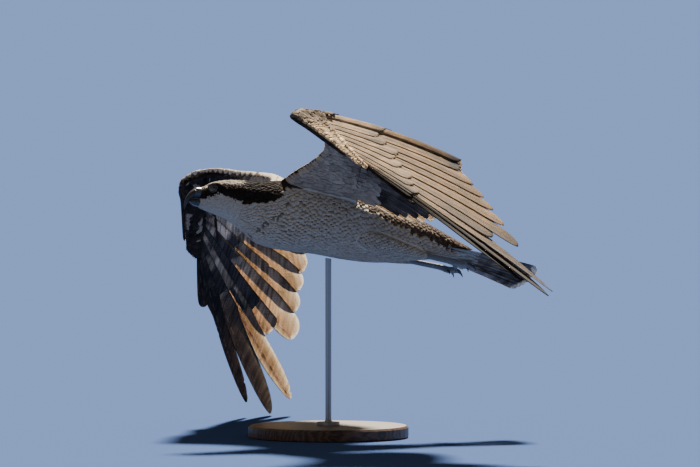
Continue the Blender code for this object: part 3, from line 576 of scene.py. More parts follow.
def laid(surface, sign, a, b, lie, length, width, rise, across=(-1, 0, 1),
         along=(0, 0.35, 0.7, 0.92, 1), shape=(0.35, 0.9, 1, 0.62, 0.12), thick=0.25 * MM,
         step=(1e-4, 1e-3)):
    """Feathers over surface(a, b). A feather's point is the surface's own point at its root's
    parameters plus its length and breadth, turned into parameters by the surface's slopes there;
    it stands off by a height that grows from below the skin at the root to rise at the tip.
    Returns (rings, along, across) with the shape (feathers, stations, ring)."""
    ea, eb = step

    def slopes(a, b):
        return surface(a + ea, b) - surface(a - ea, b), surface(a, b + eb) - surface(a, b - eb)

    slope_a, slope_b = (slope / (2 * e) for slope, e in zip(slopes(a, b), step))
    normal = sign * unit(np.cross(slope_a, slope_b))
    ahead = unit(lie - normal * (lie * normal).sum(-1, keepdims=True))
    aside = np.cross(ahead, normal)
    aa, ab, bb = (slope_a**2).sum(-1), (slope_a * slope_b).sum(-1), (slope_b**2).sum(-1)

    def to_parameters(vector):
        va, vb = (slope_a * vector).sum(-1), (slope_b * vector).sum(-1)
        scale = (aa * bb - ab**2)[:, None, None]
        return [value[:, None, None] / scale for value in (bb * va - ab * vb, aa * vb - ab * va)]

    (ahead_a, ahead_b), (aside_a, aside_b) = to_parameters(ahead), to_parameters(aside)
    t = np.asarray(along)[None, :, None]
    c = np.asarray(across)[None, None, :]
    run = np.asarray(length)[:, None, None] * t
    spread = 0.5 * np.asarray(width)[:, None, None] * np.asarray(shape)[None, :, None] * c
    at_a = a[:, None, None] + run * ahead_a + spread * aside_a
    at_b = b[:, None, None] + run * ahead_b + spread * aside_b
    point = surface(at_a, at_b)
    out = sign * unit(np.cross(*slopes(at_a, at_b)))
    height = (np.asarray(rise)[:, None, None] + QUILL_SUNK) * t**0.8
    height = height - QUILL_SUNK - EDGE_DROOP * c**2 * t
    half = 0.5 * thick * (1 - np.abs(c) ** 2) * (1 - 0.7 * t)
    top, low = (point + out * (height + way * half)[..., None] for way in (1, -1))
    rings = np.concatenate([top, low[:, :, -2:0:-1]], axis=2)
    c_ring = np.concatenate([c[0, 0], c[0, 0, -2:0:-1]])
    return rings, np.broadcast_to(t, rings.shape[:3]), np.broadcast_to(c_ring, rings.shape[:3])


def lay_out(mesh, title, values):
    """Stores a pair of values for each point as a UV map."""
    corner = np.empty(len(mesh.loops), np.int32)
    mesh.loops.foreach_get("vertex_index", corner)
    values = values.reshape(-1, 2)[corner].astype(np.float32)
    mesh.uv_layers.new(name=title).data.foreach_set("uv", values.ravel())


def feather_piece(name, rings, colours, root_uv, across, along, flipped=False):
    """One mesh of many closed feathers, ring after ring, with its painted colours. Its bake
    map gives each feather a small patch at its root's place on the skin's unwrap."""
    count, rows, ring = rings.shape[:3]
    first = np.arange(count)[:, None, None] * rows * ring
    order = np.arange(ring)
    near, far = order[::-1], order + (rows - 1) * ring
    quads = grid_quads(rows, ring)
    if flipped:
        quads, near, far = quads[:, ::-1], order, far[::-1]
    faces = [(faces + first).reshape(-1, faces.shape[-1]).tolist()
             for faces in (quads[None], near[None, None], far[None, None])]
    made = new_piece(name, carried(rings.reshape(-1, 3)), sum(faces, []), plumage.material)
    paint(made.data, "plumage", colours.reshape(-1, 3))
    patch = np.stack([
        np.broadcast_to((order / ring - 0.5) * 0.8, along.shape),
        along / np.maximum(along.max((1, 2), keepdims=True), 1e-9) - 0.5], -1)
    lay_out(made.data, "OFBake", root_uv[:, None, None, :] + 0.003 * patch)
    lay_out(made.data, "barbs", np.stack([across, along], -1))
    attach(made, "root")
    return made


def measure(pair, y):
    """A size in millimetres and what it gains for each millimetre behind the bill, at y."""
    return pair[0] * MM + pair[1] * (y + 165 * MM)


def rows_of(surface, start, end, row_step, spacing):
    """Roots in staggered rows: (a, b) with rows row_step apart and roots spacing apart."""
    a, b, at_y, odd = [], [], start, 0
    while at_y < end:
        ring = surface(np.full(64, at_y), circle(64))
        girth = np.linalg.norm(np.roll(ring, -1, axis=0) - ring, axis=1).sum()
        number = max(6, int(girth / measure(spacing, at_y)))
        b.append((np.arange(number) + 0.5 * odd) * 2 * math.pi / number)
        a.append(np.full(number, at_y))
        at_y += measure(row_step, at_y)
        odd = 1 - odd
    return np.concatenate(a), np.concatenate(b)


def in_eye(rings):
    """True for a feather that would lie over an eye's opening."""
    x, y, z = np.moveaxis(rings[:, :, :3], -1, 0)
    away = np.hypot(y - EYE_AT[1] - 0.5 * MM, z - EYE_AT[2])
    return ((away < EYE_OPENING) & (np.abs(x) > 8 * MM)).any(axis=(1, 2))


plumage = Finish("contour_feather", 0.85, Specular_IOR_Level=0.12)
barb = plumage.add("SeparateXYZ", {0: plumage.add("UVMap", uv_map="barbs")}).node.outputs
run = plumage.maths("SUBTRACT", barb["Y"], plumage.maths("ABSOLUTE", barb["X"]))
tone = plumage.add("MapRange", {
    "Value": plumage.noise(plumage.place(), 260.0, 3.0), "From Min": 0.3, "From Max": 0.7,
    "To Min": 0.82, "To Max": 1.14})
plumage.feed(plumage.add("VectorMath", {
    0: plumage.add("Attribute", output="Color", attribute_name="plumage"), "Scale": tone,
}, operation="SCALE"))
plumage.bump(plumage.maths("SINE", plumage.maths("MULTIPLY", run, 5200.0)), 0.25, 0.0002)
for name, start, end, row_step, spacing, length, width, rise, scatter in (
        ("head", -164.5, -106, (1.7, 0.02), (2.5, 0.02), (4.6, 0.11), (3.7, 0.04),
         (1.1, 0.012), 0.25),
        ("neck", -106, -46, (2.9, 0), (4.4, 0), (7.69, 0.09), (3.55, 0.05), (0.5, 0), 0.08),
        ("body", -46, 244, (5.0, 0), (6.6, 0), (29, 0), (17, 0), (0.4, 0), 0.07)):
    a, b = rows_of(trunk, start * MM, end * MM, row_step, spacing)
    number = len(a)
    a = a + chance(number) * 0.18 * measure(row_step, 0.5 * (start + end) * MM)
    b = b + chance(number) * 0.02
    grow = 1 + 0.12 * chance(number)
    lie = np.stack([
        0.10 * np.cos(b) + 0.10 * chance(number), 1 + 0 * a,
        0.06 * np.sin(b) + 0.08 * chance(number)], axis=1)
    long, wide = measure(length, a), measure(width, a)
    rings, t, c = laid(
        trunk, -1, a, b, lie, long * grow, wide * grow,
        measure(rise, a) + scatter * MM * chance(number))
    if name == "head":
        kept = ~in_eye(rings)
        rings, t, c, a, b, long, wide = (
            value[kept] for value in (rings, t, c, a, b, long, wide))
    noise = chance(len(a), 3)
    colour, pale = body_colours(rings[:, 3, 1], noise)
    tip = (smooth(0.62, 0.95, t) * pale[:, None, None])[..., None] * 0.55
    shade = (1 - 0.12 * smooth(0.5, 0.0, t))[..., None]
    made = feather_piece(
        f"plumage_{name}", rings,
        blend(colour[:, None, None] * shade, np.array([0.40, 0.31, 0.22]), tip),
        np.stack([(b / (2 * math.pi)) % 1 * 0.98 + 0.01, (a / MM + 172) / 440], axis=1),
        0.5 * wide[:, None, None] * c, long[:, None, None] * t)


# Thighs. Short soft white feathers run down each thigh to the bare shank.
for side_name, mirror in SIDES:
    a, b = rows_of(thigh, 62 * MM, 200 * MM, (4.2, 0), (5.2, 0))
    number = len(a)
    a = a + chance(number) * 0.8 * MM
    lie = np.stack([0.1 * chance(number), 1 + 0 * a, 0.1 * chance(number)], 1)
    grow = (1 + 0.12 * chance(number)) * np.interp(a, [0.06, 0.14, 0.20], [1.2, 1.2, 1.6])
    rings, t, c = laid(
        thigh, -1, a, b, lie, 17 * MM * grow, 9.5 * MM * grow,
        0.6 * MM + 0.1 * MM * chance(number))
    colours = (WHITE * (1 + 0.05 * chance(number, 1)))[:, None, None]
    made = feather_piece(
        f"plumage_thigh_{side_name}", rings * mirror,
        # Painted shade: darker towards each feather's root, under the one before.
        colours * (1 - 0.12 * smooth(0.5, 0.0, t))[..., None],
        np.stack([(b / (2 * math.pi)) % 1 * 0.9 + 0.05, (a / MM - 50) / 160], axis=1),
        4.5 * MM * c, 17 * MM * t, flipped=side_name == "right")


# Wing coverts. Row upon row of small scale-like feathers clothe both faces of each wing from the
# leading edge to the quills: dark brown with pale rims above, lit cream over the hand by painted
# sunlight, with a painted sunlit highlight along the leading edge; below, pale along the front of
# the arm in a white dimmed by painted shade, painted shadow in brown behind it, and black with
# pale spots from the wrist out.
# Painted shade: the underwing's white, dimmed and warmed because the underside lies in shade; white
# spots elsewhere on the wing use it too.
WHITE_IN_PAINTED_SHADE = np.array([0.43, 0.34, 0.25])
CARPAL = np.array([0.030, 0.022, 0.018])
# Painted highlight: the pale cream of sunlight along the wing's leading edge.
SUNLIT_EDGE = np.array([0.82, 0.73, 0.59])
# Painted sunlight: the cream that the brown coverts of the hand are lit to.
SUNLIT_CREAM = np.array([0.74, 0.52, 0.30])
COVERT_ROWS = np.array([0.0, 0.07, 0.15, 0.24, 0.34, 0.44, 0.55, 0.67, 0.80, 0.93])


def upper_covert_colours(s, f, t, c, noise):
    """Brown with a thin pale rim, lit cream from the wrist out by painted sunlight, and with a
    painted sunlit highlight along the leading edge.
    """
    n = noise[:, None, None, :]
    # Painted sunlight: from the wrist out the brown coverts and their rims are lit cream.
    lit = smooth(18.3, 21.0, s)[:, None, None, None]
    base = blend(MANTLE * (1 + 0.22 * n[..., :1]), SUNLIT_CREAM * (1 + 0.30 * n[..., 1:2]), 0.85 * lit)
    # Painted highlight of sunlight along the leading edge.
    sunlit_edge = (smooth(0.30, 0.05, f) * smooth(18.5, 16, s))[:, None, None, None]
    base = blend(base, SUNLIT_EDGE, 0.85 * sunlit_edge)
    rim = (smooth(0.72, 0.97, t) * (0.35 + 0.35 * smooth(-0.6, 1.2, n[..., 1])))[..., None]
    tinted = blend(base, np.array([0.36, 0.28, 0.19]) * (1 + 0.7 * lit), rim)
    dot = smooth(13, 16, s) * smooth(19.5, 18.0, s) * (noise[:, 1] > 0.9)
    white = (np.exp(-((t - 0.85) / 0.12) ** 2 - (c / 0.6) ** 2) * dot[:, None, None])[..., None]
    return blend(tinted, WHITE_IN_PAINTED_SHADE, 0.8 * white)


def under_covert_colours(s, f, t, c, noise):
    """White with brown centres and then painted shadow in brown along the arm, blackish with
    pale dots beyond.
    """
    n = noise[:, None, None, :]
    brown = np.array([0.16, 0.12, 0.09])
    patch = smooth(9.5, 12.0, s + 0.8 * noise[:, 0])[:, None, None, None]
    heart = np.exp(-((t - 0.72) / 0.22) ** 2 - (c / 0.55) ** 2)[..., None]
    mottled = (smooth(0.35, 0.8, f) * smooth(1.0, 5.0, s))[:, None, None, None]
    light = blend(WHITE_IN_PAINTED_SHADE * (1 + 0.10 * n[..., :1]), brown, heart * (0.15 + 0.6 * mottled))
    # Painted shadow: the lining darkens to brown along the back of the arm, where the body and hand
    # shade it.
    shaded = (0.95 * smooth(0.1, 0.8, f) * smooth(2.5, 6.0, s))[:, None, None, None]
    patchy = np.sin(1.1 * s + 0.6) + np.sin(9.0 * f + 0.9 * s) + 0.5 * noise[:, 1] > 1.1
    dot = (smooth(0.1, 0.6, t) * (patchy & (s > 12.5))[:, None, None])[..., None]
    dark = blend(CARPAL * (1 + 0.3 * n[..., :1]), WHITE_IN_PAINTED_SHADE, 0.8 * dot)
    return blend(blend(light, brown * 0.8, shaded), dark, patch)


for side_name, (sheet, edge, place) in wings.items():
    for face, sign, colour_of in (("upper", 1, upper_covert_colours),
                                  ("under", -1, under_covert_colours)):
        surface = wing_surface(sheet, edge, sign)
        s, row = np.meshgrid(np.arange(-1.6, 28.0, 0.52), np.arange(len(COVERT_ROWS)))
        s = (s + 0.26 * (row % 2) + 0.06 * chance(*s.shape)).ravel()
        number = len(s)
        f = (COVERT_ROWS[row.ravel()] + 0.012 * chance(number)).clip(0.003, 0.97)
        chord = np.linalg.norm(surface(s, f * 0 + 0.98) - surface(s, f * 0 + 0.02), axis=1)
        rear = unit(surface(s, f + 0.03) - surface(s, f))
        outer = unit(surface(s + 0.05, f) - surface(s - 0.05, f))
        lie = rear + outer * (0.35 + 0.12 * chance(number))[:, None]
        length = (9 * MM + chord * (0.10 + 0.17 * f)) * (1 + 0.1 * chance(number))
        width = np.interp(f, [0, 1], [8.5, 14.5]) * MM * (1 + 0.08 * chance(number))
        rings, t, c = laid(
            surface, sign, s, f, lie, length, width,
            1.0 * MM + 1.2 * MM * f + 0.2 * MM * chance(number),
            across=(-1, -0.5, 0, 0.5, 1), along=(0, 0.25, 0.5, 0.72, 0.88, 0.96, 1),
            shape=(0.3, 0.8, 1, 1, 0.8, 0.5, 0.12), thick=0.4 * MM, step=(1e-2, 1e-3))
        made = feather_piece(
            f"coverts_{face}_{side_name}", carried(rings, place),
            colour_of(s, f, t, c, chance(number, 2)),
            np.stack([(s + 3) / 33, np.clip(f, 0, 1) * 0.95 + 0.02], axis=1),
            6 * MM * c, length[:, None, None] * t, flipped=side_name == "right")


# Flight feathers. Eighteen secondaries and tertials and ten primaries on each wing, with a row
# of greater coverts over and under their quills. Each is a stiff curved vane with a raised
# shaft, narrow ahead of it and broad behind; the three outer ones are notched into fingers.
DARK = np.array([0.030, 0.023, 0.020])
BROWN = np.array([0.100, 0.068, 0.045])
TAN = np.array([0.33, 0.20, 0.115])
CREAM = np.array([0.60, 0.49, 0.36])
AMBER = np.array([0.50, 0.33, 0.20])
# Painted sunlight: the gold that the brown upper webs of the hand are lit to.
SUNLIT_GOLD = np.array([0.52, 0.29, 0.115])
COVERT_SHARE = ([0, 17, 18, 22, 27], [0.5, 0.48, 0.5, 0.42, 0.34])
COVERT_LIFT = 1.3 * MM
OUTER_WIDTH = ([0, 17, 22, 25, 27], [14 * MM, 14 * MM, 12.5 * MM, 11.5 * MM, 9.5 * MM])
INNER_WIDTH = ([0, 1, 17, 22, 25, 27], [12 * MM, 25 * MM, 27 * MM, 27 * MM, 27 * MM, 23 * MM])
FINGERS = (25, 26, 27)
FINGER_TWIST_DEG = 13
NOTCHES = {
    25: (0.50, 0.80, 0.72, 0.66), 26: (0.44, 0.72, 0.66, 0.66), 27: (0.36, 0.60, 0.58, 0.60)}
DARK_COVERT = ("right", 24)
DARK_COVERT_REACH = 0.60
REMICLE = ARM_FEATHERS + PRIMARIES
REMICLE_SHARE = 0.42
BAR_SPACING = 0.026
FLIGHT_STATIONS = np.concatenate([np.linspace(0.01, 0.84, 44), np.linspace(0.855, 1.0, 14)])
COVERT_STATIONS = np.concatenate([np.linspace(0.02, 0.78, 12), np.linspace(0.83, 1.0, 7)])


def web_finish(name, glow):
    """Barred vane: two painted colours, ground and bar, are mixed by cross bars that the
    feather's own map places, and its barbs slant from the shaft. Its web lets glow of the
    light behind it through."""
    made = Finish(
        name, 0.65, Specular_IOR_Level=0.12, Subsurface_Weight=glow,
        Subsurface_Radius=(1.0, 0.82, 0.64), Subsurface_Scale=0.0025)
    ground, bar = (
        made.add("Attribute", output="Color", attribute_name=name) for name in ("plumage", "bar"))
    uv, place = made.add("UVMap", uv_map="barbs"), made.place()
    barb = made.add("SeparateXYZ", {0: uv}).node.outputs
    aside = made.maths("ABSOLUTE", barb["X"])
    run = made.maths("ADD", barb["Y"], made.maths("MULTIPLY", aside, 0.35))
    wave = made.maths("SINE", made.maths(
        "ADD", made.maths("MULTIPLY", run, 2 * math.pi / BAR_SPACING),
        made.maths("MULTIPLY", made.noise(place, 90.0, 4.0), 2.6)))
    bars = made.add("MapRange", {"Value": wave, "From Min": 0.05, "From Max": 0.5},
                    interpolation_type="SMOOTHSTEP")
    slant = made.maths("SUBTRACT", barb["Y"], aside)
    streak = made.noise(
        made.add("CombineXYZ", {"X": slant}), 1.0, stretch=(900.0, 1.0, 1.0))
    worn = made.noise(made.add("VectorMath", {0: uv, 1: place}, operation="ADD"), 1.0, 6.0,
                      stretch=(330.0, 16.0, 16.0))
    tone = made.add("MapRange", {
        "Value": made.maths("ADD", streak, worn), "From Min": 0.88, "From Max": 1.14,
        "To Min": 0.3, "To Max": 1.45})
    made.feed(made.add(
        "VectorMath", {0: made.mix(bars, ground, bar), "Scale": tone}, operation="SCALE"))
    made.bump(made.maths("SINE", made.maths("MULTIPLY", slant, 4200.0)), 0.3, 0.00025)
    return made.material


def vane(sheet, q, t, lead, trail, lift=0.0, most=(0.72, 1.12), step=LAYER_STEP,
         shaft=1.0 * MM, thick=0.5 * MM, twist_deg=0.0):
    """One vane on its sheet. Its points run from the trailing edge past the raised shaft to the
    leading edge over the top, and back below. lead and trail are its widths at each station,
    and a twist raises the leading web towards the tip.
    Returns (ring, across and along in metres, share of the web's width, top)."""
    spacing = sheet.frame(np.full(len(t), float(q)), t)[3]
    ahead = np.minimum(lead, most[0] * spacing)[:, None]
    behind = np.minimum(trail, most[1] * spacing)[:, None]
    core = np.minimum(1.3 * MM, 0.14 * np.minimum(ahead, behind) + 0.1 * MM)
    across = np.concatenate([
        -behind * np.array([[1, 0.82, 0.62, 0.42, 0.22]]), -core, 0 * core, core,
        ahead * np.array([[0.34, 0.68, 1.0]])], axis=1)
    v = across / spacing[:, None]
    station = np.broadcast_to(t[:, None], v.shape)
    point, normal = sheet.beside(np.full(v.shape, float(q)), v, station)
    share = np.where(across < 0, across / -behind, across / ahead)
    ridge = shaft * (1 - 0.75 * t)[:, None] * (np.abs(share) < 0.01)
    half = 0.5 * (thick * (1 - share**2) * (1 - 0.5 * station) + 0.04 * MM)
    turned = np.radians(twist_deg) * np.clip((t - 0.45) / 0.4, 0, 1)[:, None]
    height = lift + step * v - 0.8 * MM * share**2 + np.tan(turned) * across
    top = point + normal * (height + half + 0.6 * ridge)[..., None]
    low = point + normal * (height - half - 0.4 * ridge)[..., None]
    ring = np.concatenate([top, low[:, -2:0:-1]], axis=1)
    along = np.linalg.norm(sheet.at(q, 1.0) - sheet.at(q, 0.0)) * station
    fold = [np.concatenate([grid, grid[:, -2:0:-1]], axis=1) for grid in (across, along, share)]
    upper = np.arange(ring.shape[1]) < across.shape[1]
    return ring, *fold, np.broadcast_to(upper, fold[0].shape)


def rounded(t, full=0.16, tip=0.86, point=0.10):
    """A vane's outline: narrow at the quill, full from one sixth, round at the tip."""
    u = np.clip((t - tip) / (1 - tip), 0, 1)
    return (0.12 + 0.88 * smooth(0, full, t)) * np.sqrt(np.clip(1 - u**2.4, point**2, 1))


def web_edge(width, t, seed, depth=0.05):
    """A web's rounded width, drawn in here and there where its barbs part."""
    own = np.random.default_rng(seed)
    wander = np.interp(t, np.linspace(0, 1, 14), own.uniform(1 - depth, 1, 14))
    for where in own.uniform(0.35, 0.97, 2):
        wander = wander * (1 - own.uniform(0.08, 0.25) * np.exp(-((t - where) / 0.006) ** 2))
    return width * rounded(t) * wander


def web_mesh(name, vanes, material, place, flipped):
    """One mesh of vanes that may differ in length. Each has a strip of its own in the bake map."""
    faces, atlas, start = [], [], 0
    for number, (ring, *_) in enumerate(vanes):
        rows, sides = ring.shape[:2]
        order = np.arange(sides)
        caps = [order[::-1], order + (rows - 1) * sides]
        faces += [(face[::-1 if flipped else 1] + start).tolist()
                  for face in [*grid_quads(rows, sides), *caps]]
        u = (number + 0.05 + 0.9 * order / sides) / len(vanes)
        atlas.append(np.stack(np.broadcast_arrays(
            u, np.linspace(0.01, 0.99, rows)[:, None]), -1).reshape(-1, 2))
        start += rows * sides
    points, across, along, ground, bar = (
        np.concatenate([values.reshape(-1, *values.shape[2:]) for values in column])
        for column in zip(*vanes))
    made = new_piece(name, carried(carried(points, place)), faces, material)
    paint(made.data, "plumage", ground)
    paint(made.data, "bar", bar)
    lay_out(made.data, "OFBake", np.concatenate(atlas))
    lay_out(made.data, "barbs", np.stack([across, along], -1))
    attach(made, "root")


def flight_colours(q, t, share, top, covert=False):
    """(ground, bar) over one vane. Above: brown leading webs along the hand painted with sunlight,
    cream to gold, brown trailing webs and blades, and the outermost nearly black. Below: the arm is
    dark, its brown deepened by painted shade, with an amber rim of painted sunlight glowing through
    its feather tips; the inner primaries are tan with faint bars that fade outwards, and the outer
    three are chestnut, brown and nearly black."""
    t, share = t[:, None, None], share[..., None]
    arm = 1 - smooth(17, 19.5, q)
    blade = smooth(22.5, 25, q) * smooth(0.35, 0.8, t)
    # Where painted sunlight lies on the hand's upper webs: their brown lit cream to gold, with gold
    # edges.
    sunlit_hand = smooth(14, 17.5, q)
    lit = blend(SUNLIT_CREAM, SUNLIT_GOLD * 0.65, smooth(0.1, 0.6, t)) * (1 - 0.5 * smooth(0.6, 1, t))
    lit = blend(lit, DARK * 1.2, 0.9 * blade)
    above = blend(BROWN * (0.7 + 0.7 * sunlit_hand) * (1 - 0.6 * blade),
                  blend(BROWN * 1.4, lit, sunlit_hand), smooth(-0.15, 0.45, share))
    above = blend(above, SUNLIT_GOLD, 0.3 * smooth(0.9, 1.0, np.abs(share)) * sunlit_hand * (1 - blade))
    above = blend(above, DARK * 1.2, smooth(0.84, 0.96, t) * smooth(14, 16, q) * smooth(19, 18, q))
    above = blend(above, DARK * 0.8, 0.94 * float(smooth(25.2, 26, q)))
    if covert:
        above = blend(above, SUNLIT_CREAM, 0.25 * sunlit_hand * smooth(27.5, 22, q))
    above = above * (1 - 0.35 * np.exp(-(share / 0.06) ** 2))
    pale = blend(CREAM * 0.9, TAN, smooth(0.2, 0.6, t))
    # The arm's underside is dark brown, deepened by painted shade.
    below = blend(pale, np.array([0.11, 0.088, 0.072]), arm)
    below_bar = blend(pale * blend(0.5, 0.92, smooth(0.3, 0.75, t)), below * 0.8, arm)
    end = smooth(0.80, 0.97, t) * 0.35
    below, below_bar = (blend(value, DARK * 2.5, end) for value in (below, below_bar))
    if q >= FINGERS[0]:
        finger = min(q, FINGERS[-1]) - FINGERS[0]
        tint = (AMBER * 0.4, BROWN * 0.7, DARK * 0.8)[finger]
        depth = smooth(*((0.40, 0.62), (0.2, 0.45), (0.0, 0.2))[finger], t)
        below, below_bar = blend(below, tint, depth), blend(below_bar, tint * 0.85, depth)
    if covert:
        blot = smooth(0.2, 0.7, np.sin(1.9 * q + 2.0) + np.sin(9.0 * t + 1.7 * q) + 0.5 * share)
        spotted = blend(np.array([0.66, 0.48, 0.33]), DARK * 1.5, blot)
        below = blend(spotted * smooth(27.5, 24, q) + DARK * 0.8, WHITE_IN_PAINTED_SHADE, arm)
        below = blend(below, np.array([0.12, 0.095, 0.078]), arm * smooth(-0.6, 0.5, t))
        below_bar = below * 0.85
    # On the arm the amber rim is painted sunlight glowing through the feather tips.
    if q < FINGERS[0]:
        rim = smooth(0.975, 0.99, t) + 0.5 * smooth(0.96, 1.0, -share) * smooth(0.3, 0.6, t)
        rim = rim.clip(0, 1) * (0.4 if covert else 1)
        below, below_bar = (
            blend(value, blend(CREAM * 1.15, AMBER, arm), rim) for value in (below, below_bar))
    shaft = 0.65 * np.exp(-(share / 0.045) ** 2) * (0.2 if q > FINGERS[0] else 1)
    top = top[..., None]
    return np.where(top, above, blend(below, CREAM, shaft)), np.where(top, above * 0.84, below_bar)


def blotches(t, share, least):
    """Random lighter and darker stretches of its own on each of a vane's two webs, around a
    tone that varies by least from vane to vane."""
    whole = 1 + least * rng.uniform(-1, 1)
    own = [np.interp(t, np.linspace(0, 1, 11), rng.uniform(-1, 1, 11)) for _ in range(2)]
    return whole + 0.35 * np.where(share > 0, own[0][:, None], own[1][:, None])[..., None]


web = web_finish("flight_feather", 0.38)
dark_web = web_finish("dark_flight_feather", 0.03)
for side_name, (sheet, edge, place) in wings.items():
    vanes, over, under = [], [], []
    for q in range(ARM_FEATHERS + PRIMARIES):
        outer, inner = float(np.interp(q, *OUTER_WIDTH)), float(np.interp(q, *INNER_WIDTH))
        t = FLIGHT_STATIONS
        lead, trail = web_edge(outer, t, q, 0.03), web_edge(inner, t, 50 + q, 0.06)
        if q in NOTCHES:
            where, lead_left, trail_left, tip = NOTCHES[q]
            pointed = rounded(t, tip=tip) / rounded(t)
            lead = lead * pointed * (1 - (1 - lead_left) * smooth(where, where + 0.12, t))
            trail = trail * pointed * (
                1 - (1 - trail_left) * smooth(where - 0.06, where + 0.06, t))
        *lines, share, top = vane(
            sheet, q, t * GROWN_SHARE.get(q, 1.0), lead, trail,
            twist_deg=FINGER_TWIST_DEG if q in FINGERS else 0)
        own = blotches(t, share, 0.25)
        vanes.append((*lines, *(tone * own for tone in flight_colours(q, t, share, top))))
        t = COVERT_STATIONS
        reach = float(np.interp(q, *COVERT_SHARE))
        for tier, lift in ((over, COVERT_LIFT), (under, -COVERT_LIFT)):
            long_one = lift < 0 and (side_name, q) == DARK_COVERT
            stretch = DARK_COVERT_REACH if long_one else reach * (1 + 0.05 * rng.normal())
            *lines, share, top = vane(
                sheet, q, t * stretch, web_edge(outer * 1.05, t, 90 + q),
                web_edge(inner * 0.95, t, 130 + q), lift=lift, thick=0.35 * MM,
                shaft=0.5 * MM, step=0.9 * LAYER_STEP)
            ground, bar = flight_colours(q, t, share, top, covert=True)
            if long_one:
                ground, bar = ground * 0 + DARK * 2.2, bar * 0 + DARK * 1.9
            own = blotches(t, share, 0.3)
            tier.append((*lines, ground * own, bar * own))
    t = COVERT_STATIONS
    *lines, share, top = vane(
        sheet, REMICLE, t * REMICLE_SHARE, 9 * MM * rounded(t), 12 * MM * rounded(t))
    vanes.append((*lines, *flight_colours(REMICLE, t, share, top)))
    for title, group, material in (
            ("flight_feathers", vanes[:FINGERS[1]], web),
            ("outer_primaries", vanes[FINGERS[1]:], dark_web),
            ("greater_coverts_upper", over, dark_web),
            ("greater_coverts_under", under, dark_web)):
        web_mesh(f"{title}_{side_name}", group, material, place, side_name == "right")


# Thumb feathers. Three short stiff feathers lie along the wrist's leading edge on each wing.
# Each runs from one index to another of that edge, and has its own breadth in millimetres.
THUMB_FEATHERS = ((18.7, 23.6, 8.5), (18.8, 25.4, 8), (18.9, 26.8, 7))
for side_name, (sheet, edge, place) in wings.items():
    vanes = []
    for number, (first, last, width) in enumerate(THUMB_FEATHERS):
        t = np.linspace(0, 1, 24)
        s = first + (last - first) * t
        nose = edge(s)
        root, _, up, _ = sheet.frame(s, np.zeros(len(s)))
        ahead = unit(np.cross(unit(edge(s + 0.1) - edge(s - 0.1)), up))
        ahead = np.where(((ahead * (root - nose)).sum(1) > 0)[:, None], -ahead, ahead)
        c = np.array([-1, -0.5, 0, 0.5, 1.0])
        spread = 0.5 * width * MM * rounded(t)[:, None] * c
        middle = nose + ahead * 0.5 * MM + up * (0.4 + 0.9 * number) * MM
        half = 0.3 * MM * (1 - c**2) * (1 - 0.6 * t[:, None]) + 0.05 * MM
        body = middle[:, None] + spread[..., None] * ahead[:, None]
        top, low = (body + way * up[:, None] * half[..., None] for way in (1, -1))
        ring = np.concatenate([top, low[:, -2:0:-1]], axis=1)
        across = np.concatenate([spread, spread[:, -2:0:-1]], axis=1)
        tone = DARK * (2.2 - 0.8 * t[:, None, None]) * np.ones(ring.shape)
        vanes.append(
            (ring, across, np.broadcast_to(t[:, None] * 0.07, across.shape), tone, tone * 0.9))
    web_mesh(f"thumb_feathers_{side_name}", vanes, dark_web, place, side_name == "right")


# Tail. Twelve feathers in two halves fan from the rump, each lapping the next, with short
# coverts over and under their quills; brown above, greyer below, barred, and tipped white.
HALF_TAIL = 6
TAIL_ROOT = mm(0, 200, -12)
TAIL_LENGTH = 176 * MM
TAIL_DROP = 12 * MM
TAIL_SPREAD_DEG = 6.0
TAIL_ROLL_DEG = 14.0
TAIL_STEP = 1.05 * MM
TAIL_HALF_TIP = 8 * MM
TAIL_UNDER = np.array([0.24, 0.21, 0.185])
roll = np.array(
    Matrix.Translation(TAIL_ROOT) @ Matrix.Rotation(math.radians(-TAIL_ROLL_DEG), 4, "Y")
    @ Matrix.Translation(-TAIL_ROOT))
out = np.arange(HALF_TAIL) / (HALF_TAIL - 1.0)
turned = np.radians(TAIL_SPREAD_DEG) * (out + 0.06)
roots = TAIL_ROOT + np.stack([1.0 * MM + 12 * MM * out, 0 * out, -2 * MM * out], axis=1)
length = TAIL_LENGTH * (1 - 0.06 * out**2)
tips = roots + np.stack([
    length * np.sin(turned) + TAIL_HALF_TIP * out, length * np.cos(turned),
    -TAIL_DROP - 3 * MM * out], axis=1)
tail_sheet = Sheet(np.arange(HALF_TAIL), roots, tips, 0.03, 0.01)
